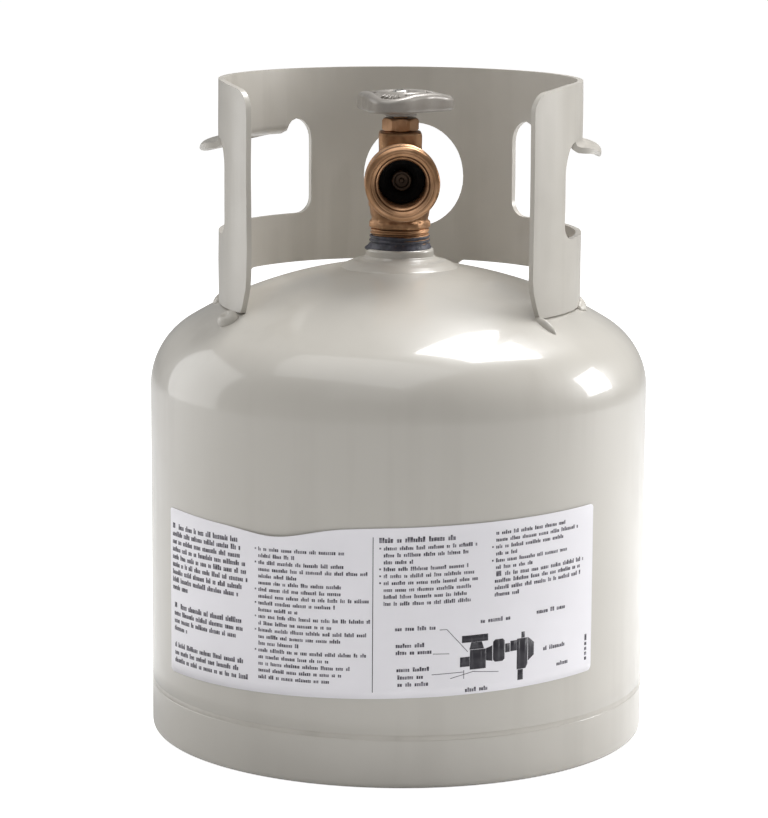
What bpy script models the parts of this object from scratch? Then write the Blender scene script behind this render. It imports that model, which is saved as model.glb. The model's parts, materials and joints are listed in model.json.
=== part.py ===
"""Small refillable propane cylinder with a guard collar and an overfill-protected valve.

The model stands on Z = 0 with its axis on Z. The valve outlet points along -Y.
All sizes below are in millimetres, and MM turns them into Blender's metres.
A bearing is an angle about Z from the outlet's direction, positive towards +X.
"""

import math

import bmesh
import bpy
from mathutils import Matrix, Vector

MM = 0.001
GAP = 0.3

# Pressure vessel
WALL_R = 113.0
WALL_T = 2.4
WALL_LOW_Z = 24.0
KNUCKLE_R = 33.8
CROWN_R = 186.8
SHOULDER_Z = 158.5
BOTTOM_Z = 8.0
BOTTOM_CROWN_R = 330.0
BOTTOM_KNUCKLE_R = 20.0
SKIRT_TOP_Z = 56.0
RING_TOP_Z = 21.8
RING_FLANGE_R = 106.5
RING_EDGE_R = 3.0

# Guard collar
COLLAR_R = 82.0
COLLAR_T = 2.6
COLLAR_TOP_Z = 297.3
COLLAR_TURN = -6.5
OPENING_HALF = 50.2
SLOT_FRONT = 67.4
SLOT_BACK = 143.3
SLOT_LOW_Z = 229.0
SLOT_LIP_Z = 267.0
SLOT_RELIEF_Z = 273.8
SLOT_RELIEF_AT = 137.0
HOLE_R = 24.8
HOLE_Z = 246.0
DRAIN_Z = 206.0
FOOT_FRONT_END = 112.0
FOOT_BACK_HALF = 14.0
SIDE_WELD_FROM = 84.0
FOOT_WELD_SIZE = 4.0
LIP_FROM = 76.0
LIP_TO = 131.0
LIP_REACH = 9.5
LIP_BEND_R = 3.0

# Coupling and valve
COUPLING_R = 15.5
COUPLING_BORE_R = 12.3
COUPLING_LOW_Z = 199.0
COUPLING_TOP_Z = 221.0
COUPLING_WELD_R = 25.5
SHANK_R = 11.9
SHANK_LOW_Z = 193.0
INLET_R = 4.0
SEAT_Z = 238.5
SEAT_BORE_R = 2.8
CHAMBER_R = 6.0
STEM_BORE_R = 6.3
STEM_BORE_Z = 256.5
BONNET_BORE_R = 7.3
BONNET_BORE_Z = 267.5
NECK_TOP_Z = 273.6
NECK_WIDTH = 19.3
OUTLET_Z = 253.7
OUTLET_R = 16.65
OUTLET_NOSE_Y = 40.0
OUTLET_BORE_R = 10.6
OUTLET_BORE_DEPTH = 24.0
SPRING_BORE_R = 5.6
SPRING_BORE_DEPTH = 33.0
PASSAGE_R = 3.2
RELIEF_Z = 241.0
RELIEF_NOSE_Y = 27.0
RELIEF_BOSS_R = 9.5
RELIEF_BORE_R = 6.6
RELIEF_BORE_DEPTH = 15.0
RELIEF_SEAT_R = 2.2
RELIEF_DRILL_Y = 9.0
BLEED_Z = 243.0
BLEED_FACE_X = 11.2
BLEED_FACE_R = 4.4
DIP_X = 9.0
DIP_TOP_Z = 201.0
DIP_LOW_Z = 160.0
BONNET_AF = 14.5
BONNET_TOP_Z = 279.8
BONNET_LOW_Z = 268.0

# Handwheel and stems
WHEEL_LOW_Z = 283.0
WHEEL_TOP_Z = 291.0
WHEEL_CORNER_AT = -18.0
WHEEL_MEAN_R = 21.6
WHEEL_LOBE = 3.4
STEM_SQUARE = 5.6

# Overfill protection
OPD_R = 7.0
OPD_LOW_Z = 158.0
OPD_TOP_Z = 192.6
OPD_SEAT_Z = 184.0
PIVOT_Z = 161.0
FLOAT_R = 9.5
FLOAT_TOP_Z = 140.0
FLOAT_LENGTH = 38.0

# Label
LABEL_BEARING = -8.4
LABEL_HALF = 55.3
LABEL_MID_Z = 77.4
LABEL_HEIGHT = 74.6
LABEL_TILT = 0.0345
LABEL_T = 0.2

ROUND = 48
SMALL_ROUND = 28
TINY_ROUND = 18

DIRECTIONS = {
    "+Z": (0.0, 0.0, 0.0),
    "-Y": (math.pi / 2, 0.0, 0.0),
    "+Y": (-math.pi / 2, 0.0, 0.0),
    "-X": (0.0, -math.pi / 2, 0.0),
}


def clear_scene():
    for obj in list(bpy.data.objects):
        bpy.data.objects.remove(obj)


def make_material(name, color, roughness, metallic):
    material = bpy.data.materials.new(name)
    material.use_nodes = True
    shader = material.node_tree.nodes["Principled BSDF"]
    shader.inputs["Base Color"].default_value = (*color, 1.0)
    shader.inputs["Roughness"].default_value = roughness
    shader.inputs["Metallic"].default_value = metallic
    return material


def make_materials():
    table = {
        "grey_paint": ((0.52, 0.50, 0.46), 0.35, 0.0),
        "bare_steel": ((0.45, 0.45, 0.44), 0.4, 0.9),
        "brass": ((0.55, 0.34, 0.16), 0.35, 0.9),
        "sealant": ((0.03, 0.035, 0.05), 0.6, 0.0),
        "cast_grey": ((0.55, 0.54, 0.50), 0.4, 0.6),
        "zinc_steel": ((0.6, 0.6, 0.6), 0.3, 0.9),
        "black_rubber": ((0.02, 0.02, 0.02), 0.7, 0.0),
        "white_nylon": ((0.8, 0.78, 0.72), 0.5, 0.0),
        "black_plastic": ((0.03, 0.03, 0.03), 0.5, 0.0),
        "label_paper": ((0.78, 0.76, 0.8), 0.5, 0.0),
    }
    return {name: make_material(name, *values) for name, values in table.items()}


def at_bearing(radius, bearing, z):
    """Point at a radius and a bearing in degrees, in millimetres."""
    angle = math.radians(bearing)
    return Vector((radius * math.sin(angle), -radius * math.cos(angle), z))


def add_axis(name, at):
    """Empty on a joint's axis, which carries that body's pieces."""
    empty = bpy.data.objects.new(name, None)
    empty.empty_display_size = 10.0 * MM
    empty.location = Vector(at) * MM
    bpy.context.scene.collection.objects.link(empty)
    return empty


def add_object(name, data, material, at=(0, 0, 0), direction="+Z", axis=None):
    """Link an object whose local +Z points along the direction, at a place in millimetres."""
    obj = bpy.data.objects.new(name, data)
    bpy.context.scene.collection.objects.link(obj)
    obj.location = Vector(at) * MM
    obj.rotation_euler = DIRECTIONS[direction]
    if axis is not None:
        obj.parent = axis
        obj.location = obj.location - axis.location
    if material is not None:
        obj.data.materials.append(material)
    return obj


def finish_mesh(name, bm, smooth_degrees=35.0, triangulate=False):
    bmesh.ops.remove_doubles(bm, verts=bm.verts, dist=1e-7)
    bmesh.ops.recalc_face_normals(bm, faces=bm.faces)
    if triangulate:
        bmesh.ops.triangulate(bm, faces=bm.faces)
    if bm.calc_volume(signed=True) < 0.0:
        bmesh.ops.reverse_faces(bm, faces=bm.faces)
    mesh = bpy.data.meshes.new(name)
    bm.to_mesh(mesh)
    bm.free()
    mesh.shade_smooth()
    mesh.set_sharp_from_angle(angle=math.radians(smooth_degrees))
    return mesh


def turned_mesh(name, profile, steps):
    """Spin an (r, z) outline about Z. An outline that starts and ends on the axis is a solid of revolution."""
    bm = bmesh.new()
    verts = [bm.verts.new((r * MM, 0.0, z * MM)) for r, z in profile]
    pairs = list(zip(verts, verts[1:]))
    if profile[0][0] > 0.0 or profile[-1][0] > 0.0:
        pairs.append((verts[-1], verts[0]))
    edges = [bm.edges.new(pair) for pair in pairs]
    bmesh.ops.spin(
        bm,
        geom=verts + edges,
        cent=(0, 0, 0),
        axis=(0, 0, 1),
        angle=2 * math.pi,
        steps=steps,
        use_merge=True,
    )
    return finish_mesh(name, bm)


def turned(name, profile, material, steps=SMALL_ROUND, at=(0, 0, 0), direction="+Z", axis=None):
    return add_object(name, turned_mesh(name, profile, steps), material, at, direction, axis)


def rod(radius, low, high):
    """Outline of a plain rod along the axis."""
    return [(0, low), (radius, low), (radius, high), (0, high)]


def ring(inner, outer, low, high):
    """Outline of a plain ring round the axis."""
    return [(inner, low), (outer, low), (outer, high), (inner, high)]


def arc(centre, radius, start, end, steps):
    """Points (r, z) on an arc, with angles in degrees from +r."""
    points = []
    for i in range(steps + 1):
        angle = math.radians(start + (end - start) * i / steps)
        points.append((centre[0] + radius * math.cos(angle), centre[1] + radius * math.sin(angle)))
    return points


def stacked_mesh(name, levels, steps):
    """Loft closed rings of points. Each level is (z, function from angle in radians to radius)."""
    bm = bmesh.new()
    rings = []
    for z, radius in levels:
        loop = []
        for i in range(steps):
            angle = 2 * math.pi * i / steps
            r = radius(angle)
            loop.append(bm.verts.new((r * math.cos(angle) * MM, r * math.sin(angle) * MM, z * MM)))
        rings.append(loop)
    for lower, upper in zip(rings, rings[1:]):
        for i in range(steps):
            j = (i + 1) % steps
            bm.faces.new((lower[i], lower[j], upper[j], upper[i]))
    bm.faces.new(rings[0][::-1])
    bm.faces.new(rings[-1])
    return finish_mesh(name, bm)


def round_radius(radius):
    return lambda angle: radius


def polygon_radius(flat_half, sides, corner_r, turn=0.0):
    """Radius of a regular polygon with flats at flat_half, its corners cut by a circle."""
    sector = 2 * math.pi / sides

    def radius(angle):
        local = (angle - turn + sector / 2) % sector - sector / 2
        return min(flat_half / math.cos(local), corner_r)

    return radius


def lobed_radius(mean, lobe, corner_bearing):
    """Radius of the handwheel: three soft corners with hollow sides between them."""
    first = math.radians(corner_bearing - 90.0)

    def radius(angle):
        wave = math.cos(3.0 * (angle - first))
        return mean + lobe * wave - 0.18 * lobe * math.cos(6.0 * (angle - first))

    return radius


def bent_block_mesh(name, columns, r_in, r_out):
    """Block that follows a circle. Each column is (bearing, lowest z, highest z)."""
    bm = bmesh.new()
    rows = []
    for bearing, low, high in columns:
        corners = ((r_in, low), (r_out, low), (r_out, high), (r_in, high))
        rows.append([bm.verts.new(at_bearing(r, bearing, z) * MM) for r, z in corners])
    for first, second in zip(rows, rows[1:]):
        for i in range(4):
            j = (i + 1) % 4
            bm.faces.new((first[i], first[j], second[j], second[i]))
    bm.faces.new(rows[0])
    bm.faces.new(rows[-1])
    return finish_mesh(name, bm, triangulate=True)


def strip_mesh(name, sections):
    """Loft closed sections of equal size, each a list of points in millimetres, and cap both ends."""
    bm = bmesh.new()
    rows = [[bm.verts.new(Vector(point) * MM) for point in section] for section in sections]
    count = len(rows[0])
    for first, second in zip(rows, rows[1:]):
        for i in range(count):
            j = (i + 1) % count
            bm.faces.new((first[i], first[j], second[j], second[i]))
    bm.faces.new(rows[0])
    bm.faces.new(rows[-1])
    return finish_mesh(name, bm, triangulate=True)


def hide_helper(obj):
    obj.hide_render = True
    obj.display_type = "WIRE"
    return obj


def combine(target, helper, operation):
    """Boolean that stays live on the target. The helper is hidden."""
    hide_helper(helper)
    modifier = target.modifiers.new(f"{operation.lower()}_{helper.name}"[:60], "BOOLEAN")
    modifier.operation = operation
    modifier.object = helper
    modifier.solver = "EXACT"
    if target.parent is not None:
        helper.parent = target.parent
        helper.location = helper.location - target.parent.location


def cut(target, helper):
    combine(target, helper, "DIFFERENCE")


def join(target, helper):
    combine(target, helper, "UNION")


def box_helper(name, low, high):
    bm = bmesh.new()
    bmesh.ops.create_cube(bm, size=1.0)
    size = (Vector(high) - Vector(low)) * MM
    middle = (Vector(high) + Vector(low)) / 2 * MM
    bmesh.ops.scale(bm, vec=size, verts=bm.verts)
    bmesh.ops.translate(bm, vec=middle, verts=bm.verts)
    return add_object(name, finish_mesh(name, bm), None)


def spring(name, material, wire_r, coil_r, low, high, turns, at=(0, 0, 0), direction="+Z", axis=None):
    """Compression spring as a bevelled curve along local Z, between its two seats."""
    curve = bpy.data.curves.new(name, "CURVE")
    curve.dimensions = "3D"
    curve.bevel_depth = wire_r * MM
    curve.bevel_resolution = 1
    curve.use_fill_caps = True
    per_turn = 9
    count = turns * per_turn + 1
    spline = curve.splines.new("POLY")
    spline.points.add(count - 1)
    for i in range(count):
        share = i / (count - 1)
        angle = 2 * math.pi * turns * share
        z = low + wire_r + (high - low - 2 * wire_r) * share
        x = coil_r * math.cos(angle)
        y = coil_r * math.sin(angle)
        spline.points[i].co = (x * MM, y * MM, z * MM, 1.0)
    return add_object(name, curve, material, at, direction, axis)


def head_outline(offset, steps):
    """Outer crown and knuckle of the top head, moved inwards by an offset, from the wall to the axis."""
    knuckle_centre = (WALL_R - KNUCKLE_R, SHOULDER_Z)
    crown_centre = (0.0, SHOULDER_Z - math.sqrt((CROWN_R - KNUCKLE_R) ** 2 - knuckle_centre[0] ** 2))
    meet = math.degrees(math.atan2(SHOULDER_Z - crown_centre[1], knuckle_centre[0]))
    knuckle = arc(knuckle_centre, KNUCKLE_R - offset, 0.0, meet, steps)
    crown = arc(crown_centre, CROWN_R - offset, meet, 90.0, steps)
    return knuckle + crown[1:]


def crown_z(radius):
    """Height of the crown's outer face at a radius, inside the knuckle."""
    offset = WALL_R - KNUCKLE_R
    centre_z = SHOULDER_Z - math.sqrt((CROWN_R - KNUCKLE_R) ** 2 - offset**2)
    return centre_z + math.sqrt(CROWN_R**2 - radius**2)


def outside_of(radius, points):
    """The points of an outline that lie clear of a hole of that radius."""
    return [point for point in points if point[0] > radius + 3.0]


def build_upper_shell(materials):
    hole_r = COUPLING_R + GAP
    outer = [(WALL_R, WALL_LOW_Z)] + outside_of(hole_r, head_outline(0.0, 5))
    inner = [(WALL_R - WALL_T, WALL_LOW_Z)] + outside_of(hole_r, head_outline(WALL_T, 4))
    outer.append((hole_r, crown_z(hole_r)))
    inner.append((hole_r, crown_z(hole_r) - WALL_T))
    turned("upper_shell", outer + inner[::-1], materials["grey_paint"], ROUND)


def dish_outline(offset, steps):
    """Lower face of the bottom head from the axis to the skirt, moved inwards by an offset."""
    skirt_r = WALL_R - WALL_T - GAP
    knuckle_r = BOTTOM_KNUCKLE_R
    reach = skirt_r - knuckle_r
    crown_top = BOTTOM_Z + BOTTOM_CROWN_R
    knuckle_z = crown_top - math.sqrt((BOTTOM_CROWN_R - knuckle_r) ** 2 - reach**2)
    meet = -math.degrees(math.atan2(crown_top - knuckle_z, reach))
    crown = arc((0.0, crown_top), BOTTOM_CROWN_R - offset, -90.0, meet, steps)
    crown[0] = (0.0, crown[0][1])
    knuckle = arc((reach, knuckle_z), knuckle_r - offset, meet, 0.0, steps)
    return crown + knuckle[1:]


def build_bottom_head(materials):
    lower = dish_outline(0.0, 3)
    upper = dish_outline(WALL_T, 3)
    skirt = [(lower[-1][0], SKIRT_TOP_Z), (upper[-1][0], SKIRT_TOP_Z)]
    turned("bottom_head", lower + skirt + upper[::-1], materials["bare_steel"], ROUND)


def build_foot_ring(materials):
    thickness = WALL_T
    edge = arc((WALL_R - RING_EDGE_R, RING_EDGE_R), RING_EDGE_R, -90.0, 0.0, 3)
    outer = [(RING_FLANGE_R, 0.0)] + edge + [(WALL_R, RING_TOP_Z)]
    inner = [
        (WALL_R - thickness, RING_TOP_Z),
        (WALL_R - thickness, thickness + 2.0),
        (WALL_R - thickness - 2.0, thickness),
        (RING_FLANGE_R, thickness),
    ]
    turned("foot_ring", outer + inner, materials["grey_paint"], ROUND)
    low = RING_TOP_Z + GAP
    high = WALL_LOW_Z - GAP
    bead = [(WALL_R - WALL_T, low), (WALL_R - 0.4, low)]
    bead += [(WALL_R + 0.1, (low + high) / 2), (WALL_R - 0.4, high), (WALL_R - WALL_T, high)]
    turned("foot_ring_weld", bead, materials["grey_paint"], ROUND)


def build_coupling(materials):
    chamfer = 1.0
    outline = [
        (COUPLING_BORE_R, COUPLING_LOW_Z),
        (COUPLING_R, COUPLING_LOW_Z),
        (COUPLING_R, COUPLING_TOP_Z - chamfer),
        (COUPLING_R - chamfer, COUPLING_TOP_Z),
        (COUPLING_BORE_R, COUPLING_TOP_Z),
    ]
    turned("coupling", outline, materials["grey_paint"], SMALL_ROUND)
    inner = COUPLING_R + GAP
    foot = [(r, crown_z(r) + GAP) for r in (inner, (inner + COUPLING_WELD_R) / 2, COUPLING_WELD_R)]
    top = [(24.2, 214.6), (21.8, 216.1), (19.4, 216.9), (17.4, 218.2), (inner, 219.6)]
    turned("coupling_weld", foot + top, materials["grey_paint"], 32)


def ease(share):
    """Quarter-circle rise from 0 to 1."""
    share = min(max(share, 0.0), 1.0)
    return math.sqrt(max(0.0, 1.0 - (1.0 - share) ** 2))


def spaced(start, end, most):
    """Evenly spaced values from start to end, at most that far apart."""
    count = max(1, math.ceil(abs(end - start) / most))
    return [start + (end - start) * i / count for i in range(count + 1)]


def collar_top_z(turn):
    """Top edge at an angle from the collar's middle plane, with a rounded corner at the opening."""
    corner = 8.0
    arc_mm = (abs(turn) - OPENING_HALF) * math.radians(1.0) * COLLAR_R
    slope = 3.0 * (1.0 - min(arc_mm / 34.0, 1.0))
    return COLLAR_TOP_Z - slope - corner * (1.0 - ease(arc_mm / corner))


def collar_foot_z(turn):
    """Lower edge: on the crown at the feet, and raised between them."""
    rest = crown_z(COLLAR_R - COLLAR_T) + GAP
    corner = 6.0 / (COLLAR_R * math.radians(1.0))
    from_front = (abs(turn) - FOOT_FRONT_END) / corner
    from_back = ((180.0 - abs(turn)) - FOOT_BACK_HALF) / corner
    inside = min(from_front, from_back)
    if inside <= 0.0:
        return rest
    return rest + (DRAIN_Z - rest) * ease(inside)


def build_collar(materials):
    turns = spaced(OPENING_HALF, OPENING_HALF + 6.0, 2.0) + spaced(OPENING_HALF + 6.0, FOOT_FRONT_END, 6.0)[1:]
    turns += spaced(FOOT_FRONT_END, FOOT_FRONT_END + 4.4, 1.5)[1:]
    turns += spaced(FOOT_FRONT_END + 4.4, 180.0 - FOOT_BACK_HALF - 4.4, 6.0)[1:]
    turns += spaced(180.0 - FOOT_BACK_HALF - 4.4, 180.0 - FOOT_BACK_HALF, 1.5)[1:]
    turns += spaced(180.0 - FOOT_BACK_HALF, 180.0, 5.0)[1:]
    turns += [360.0 - turn for turn in turns[-2::-1]]
    columns = []
    for turn in turns:
        signed = turn if turn <= 180.0 else turn - 360.0
        columns.append((COLLAR_TURN + turn, collar_foot_z(signed), collar_top_z(signed)))
    mesh = bent_block_mesh("collar", columns, COLLAR_R - COLLAR_T, COLLAR_R)
    collar = add_object("collar", mesh, materials["grey_paint"])
    for side in (-1, 1):
        join(collar, lip_helper(side))
    for side in (-1, 1):
        cut(collar, slot_helper(side))
    cut(collar, hole_helper())


def slot_helper(side):
    """Hand slot: rounded lower corners, and a relief above each end of the rolled lip."""
    per_mm = 1.0 / (COLLAR_R * math.radians(1.0))
    corner_low = 7.5
    front_corner = 8.0
    columns = []
    turns = spaced(SLOT_FRONT, SLOT_FRONT + 6.0, 1.5) + spaced(SLOT_FRONT + 6.0, SLOT_RELIEF_AT - 9.0, 6.0)[1:]
    turns += spaced(SLOT_RELIEF_AT - 9.0, SLOT_BACK, 1.5)[1:]
    for turn in turns:
        from_front = (turn - SLOT_FRONT) / per_mm
        from_back = (SLOT_BACK - turn) / per_mm
        low = SLOT_LOW_Z + corner_low * (1.0 - ease(min(from_front, from_back) / corner_low))
        high = SLOT_LIP_Z - 1.0 - front_corner * (1.0 - ease(from_front / front_corner))
        if turn > SLOT_RELIEF_AT - 9.0:
            rise = 0.5 - 0.5 * math.cos(math.pi * min((turn - SLOT_RELIEF_AT + 9.0) / 9.0, 1.0))
            high += (SLOT_RELIEF_Z - SLOT_LIP_Z + 1.0) * rise
            drop = 10.0
            high -= drop * (1.0 - ease(from_back / drop))
        columns.append((COLLAR_TURN + side * turn, low, high))
    mesh = bent_block_mesh(f"slot_cutter_{side}", columns, COLLAR_R - 12.0, COLLAR_R + 0.8)
    return add_object(mesh.name, mesh, None)


def lip_helper(side):
    """Rolled lip along the slot's upper edge: the plate turned outwards, rounded at both ends."""
    middle = (LIP_FROM + LIP_TO) / 2
    half = (LIP_TO - LIP_FROM) / 2
    inner_face = COLLAR_R - 0.6
    low = SLOT_LIP_Z - 0.4
    sections = []
    for turn in spaced(LIP_FROM, LIP_TO, 5.0):
        share = abs(turn - middle) / half
        reach = LIP_REACH * max(0.2, (1.0 - share**8) ** 0.5)
        tip = COLLAR_R + reach
        outline = [(inner_face, low), (COLLAR_R + 0.3 * reach, low), (COLLAR_R + 0.88 * reach, low - 1.2)]
        outline += [(tip, low - 0.4), (COLLAR_R + 0.97 * reach, low + 1.0), (COLLAR_R + 0.8 * reach, low + 1.9)]
        outline += [(COLLAR_R + 0.2 * reach, low + 2.7), (inner_face, low + 2.0 + LIP_BEND_R)]
        sections.append([at_bearing(r, COLLAR_TURN + side * turn, z) for r, z in outline])
    mesh = strip_mesh(f"lip_{side}", sections)
    return add_object(mesh.name, mesh, None)


def hole_helper():
    """Round hole at the back, opposite the opening."""
    columns = []
    steps = 14
    for i in range(steps + 1):
        across = -math.cos(math.pi * i / steps)
        half = HOLE_R * max(0.02, math.sqrt(max(0.0, 1.0 - across**2)))
        turn = math.degrees(HOLE_R * across / COLLAR_R)
        columns.append((COLLAR_TURN + 180.0 + turn, HOLE_Z - half, HOLE_Z + half))
    mesh = bent_block_mesh("hole_cutter", columns, COLLAR_R - 12.0, COLLAR_R + 12.0)
    return add_object(mesh.name, mesh, None)


def bead_sections(turn_from, turn_to, width, height):
    """Fillet bead outside the collar's foot, between the collar and the crown."""
    start_r = COLLAR_R + GAP
    sections = []
    for turn in spaced(turn_from, turn_to, 4.0):
        share = abs(2 * (turn - turn_from) / (turn_to - turn_from) - 1.0)
        size = max(0.25, math.sqrt(max(0.0, 1.0 - share**6)))
        end_r = start_r + width * size
        base = [(start_r, crown_z(start_r) + GAP), (end_r, crown_z(end_r) + GAP)]
        top = crown_z(start_r) + GAP + height * size
        crest = (start_r + 0.6 * width * size, crown_z(start_r) + GAP + 0.62 * height * size)
        outline = base + [crest, (start_r, top)]
        sections.append([at_bearing(r, COLLAR_TURN + turn, z) for r, z in outline])
    return sections


def nugget_mesh(name, turn, size):
    """Weld nugget in front of a collar foot: half a squashed ball on the crown."""
    bm = bmesh.new()
    radius = COLLAR_R - 0.5
    arc_out = math.degrees(size / COLLAR_R) + 0.35
    side = math.copysign(1.0, turn)
    centre = at_bearing(radius, COLLAR_TURN + turn - side * arc_out, 0.0)
    bmesh.ops.create_uvsphere(bm, u_segments=16, v_segments=8, radius=size * MM)
    for vert in bm.verts:
        vert.co.z = max(vert.co.z, 0.0) * 0.8
        place = vert.co / MM + centre
        vert.co = Vector((place.x, place.y, place.z + crown_z(math.hypot(place.x, place.y)) + GAP)) * MM
    bmesh.ops.remove_doubles(bm, verts=bm.verts, dist=1e-7)
    return finish_mesh(name, bm)


def build_collar_welds(materials):
    paint = materials["grey_paint"]
    for word, side in (("left", -1), ("right", 1)):
        name = f"collar_weld_{word}_front"
        add_object(name, nugget_mesh(name, side * OPENING_HALF, 5.0), paint)
        name = f"collar_weld_{word}_side"
        ends = sorted((side * SIDE_WELD_FROM, side * (FOOT_FRONT_END - 4.0)))
        add_object(name, strip_mesh(name, bead_sections(*ends, FOOT_WELD_SIZE, FOOT_WELD_SIZE)), paint)
    back_half = FOOT_BACK_HALF - 1.0
    back = bead_sections(180.0 - back_half, 180.0 + back_half, FOOT_WELD_SIZE, FOOT_WELD_SIZE)
    add_object("collar_weld_back", strip_mesh("collar_weld_back", back), paint)


def build_label(materials):
    """Paper sheet on the wall, a hair off it, with its length rising a little towards +X."""
    columns = []
    for bearing in spaced(-LABEL_HALF, LABEL_HALF, 5.0):
        rise = LABEL_TILT * WALL_R * math.radians(bearing)
        low = LABEL_MID_Z + rise - LABEL_HEIGHT / 2
        columns.append((LABEL_BEARING + bearing, low, low + LABEL_HEIGHT))
    mesh = bent_block_mesh("label", columns, WALL_R + 0.15, WALL_R + 0.15 + LABEL_T)
    add_object("label", mesh, materials["label_paper"])


def build_valve_body(materials):
    """Brass forging: pipe shank, wrench band, round body, square neck, outlet nose and relief boss."""
    band = polygon_radius(12.9, 6, 13.6, math.radians(30))
    neck = polygon_radius(NECK_WIDTH / 2, 4, 11.3)
    shank = round_radius(SHANK_R)
    levels = [(SHANK_LOW_Z, shank), (226.9, shank)]
    for z in (227.0, 228.6):
        levels += [(z, round_radius(12.4)), (z + 0.8, round_radius(13.2))]
    levels += [(230.3, band), (233.1, band), (233.8, round_radius(12.7))]
    levels += [(240.0, round_radius(13.6)), (250.0, round_radius(13.8)), (258.0, round_radius(12.4))]
    levels += [(263.0, neck), (NECK_TOP_Z, neck)]
    body = add_object("valve_body", stacked_mesh("valve_body", levels, 36), materials["brass"])
    for helper in valve_bosses():
        join(body, helper)
    for helper in valve_bores():
        cut(body, helper)


def valve_bosses():
    nose = [(0, 1.3), (12.6, 1.3), (12.6, 21.0), (14.6, 23.0)]
    for start in (24.0, 31.0):
        nose += [(OUTLET_R, start), (OUTLET_R, start + 5.0), (15.4, start + 6.0)]
    nose += [(OUTLET_R - 0.6, 39.0), (14.6, OUTLET_NOSE_Y), (0, OUTLET_NOSE_Y)]
    relief = [(0, 2.0), (RELIEF_BOSS_R, 2.0), (RELIEF_BOSS_R, RELIEF_NOSE_Y - 1.0)]
    relief += [(RELIEF_BOSS_R - 1.0, RELIEF_NOSE_Y), (0, RELIEF_NOSE_Y)]
    return [
        turned("outlet_boss", nose, None, 32, (0, 0, OUTLET_Z), "-Y"),
        turned("relief_boss", relief, None, SMALL_ROUND, (0, 0, RELIEF_Z), "+Y"),
    ]


def valve_bores():
    nose = OUTLET_NOSE_Y
    stem = [(0, SEAT_Z - 3.0), (SEAT_BORE_R, SEAT_Z - 3.0), (SEAT_BORE_R, SEAT_Z), (CHAMBER_R, SEAT_Z)]
    stem += [(CHAMBER_R, STEM_BORE_Z), (STEM_BORE_R, STEM_BORE_Z + 0.3), (STEM_BORE_R, BONNET_BORE_Z)]
    stem += [(BONNET_BORE_R, BONNET_BORE_Z), (BONNET_BORE_R, NECK_TOP_Z + 1.0), (0, NECK_TOP_Z + 1.0)]
    outlet = [(0, 4.0), (PASSAGE_R, 4.0), (PASSAGE_R, nose - SPRING_BORE_DEPTH)]
    outlet += [(SPRING_BORE_R, nose - SPRING_BORE_DEPTH), (SPRING_BORE_R, nose - OUTLET_BORE_DEPTH)]
    outlet += [(OUTLET_BORE_R, nose - OUTLET_BORE_DEPTH), (OUTLET_BORE_R, nose - 2.2)]
    outlet += [(12.6, nose), (12.6, nose + 1.0), (0, nose + 1.0)]
    floor_y = RELIEF_NOSE_Y - RELIEF_BORE_DEPTH
    relief = [(0, RELIEF_DRILL_Y - 1.6), (RELIEF_SEAT_R, RELIEF_DRILL_Y - 1.6), (RELIEF_SEAT_R, floor_y)]
    relief += [(RELIEF_BORE_R, floor_y), (RELIEF_BORE_R, RELIEF_NOSE_Y + 1.0), (0, RELIEF_NOSE_Y + 1.0)]
    low = SHANK_LOW_Z - 1.0
    bleed = [(0, 7.6), (1.6, 7.6), (2.3, 8.6), (2.3, BLEED_FACE_X), (BLEED_FACE_R, BLEED_FACE_X)]
    bleed += [(BLEED_FACE_R, BLEED_FACE_X + 5.0), (0, BLEED_FACE_X + 5.0)]
    return [
        turned("inlet_bore", rod(INLET_R, low, SEAT_Z - 2.4), None, TINY_ROUND),
        turned("stem_bore", stem, None, SMALL_ROUND),
        turned("outlet_bore", outlet, None, SMALL_ROUND, (0, 0, OUTLET_Z), "-Y"),
        turned("relief_bore", relief, None, TINY_ROUND, (0, 0, RELIEF_Z), "+Y"),
        turned("relief_drill", rod(1.4, low, RELIEF_Z + 0.7), None, 12, (0, RELIEF_DRILL_Y, 0)),
        turned("dip_drill", rod(1.9, low, DIP_TOP_Z + 1.0), None, 12, (-DIP_X, 0, 0)),
        turned("level_drill", rod(0.9, DIP_TOP_Z, BLEED_Z + 0.4), None, 12, (-DIP_X, 0, 0)),
        turned("bleed_bore", bleed, None, 16, (0, 0, BLEED_Z), "-X"),
    ]


def build_thread_sealant(materials):
    inner = SHANK_R + GAP
    low = COUPLING_TOP_Z + GAP
    outline = [(inner, low), (COUPLING_R - 0.2, low), (COUPLING_R - 0.6, low + 0.5), (12.9, low + 1.2)]
    outline += [(12.6, 223.0), (12.9, 224.4), (12.6, 226.6), (inner, 226.6)]
    turned("thread_sealant", outline, materials["sealant"], SMALL_ROUND)


def build_bonnet(materials):
    hexagon = polygon_radius(BONNET_AF / 2, 6, 8.25, math.radians(90))
    plug = round_radius(BONNET_BORE_R - GAP)
    levels = [(BONNET_LOW_Z, plug), (NECK_TOP_Z + GAP, plug), (NECK_TOP_Z + GAP + 0.01, hexagon)]
    levels += [(BONNET_TOP_Z - 0.8, hexagon), (BONNET_TOP_Z, round_radius(7.0))]
    bonnet = add_object("bonnet_nut", stacked_mesh("bonnet_nut", levels, 24), materials["brass"])
    bore = [(0, BONNET_LOW_Z - 1.0), (6.0, BONNET_LOW_Z - 1.0), (6.0, 272.0), (3.6, 272.0), (3.6, 274.6)]
    bore += [(5.3, 274.6), (5.3, 276.9), (3.6, 276.9), (3.6, BONNET_TOP_Z + 1.0), (0, BONNET_TOP_Z + 1.0)]
    cut(bonnet, turned("bonnet_bore", bore, None, 24))
    turned("stem_o_ring", o_ring(4.3, 0.65, 275.75), materials["black_rubber"], 24)
    turned("stem_thrust_washer", ring(3.7, 5.7, 270.9, 271.7), materials["white_nylon"], 24)


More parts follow.
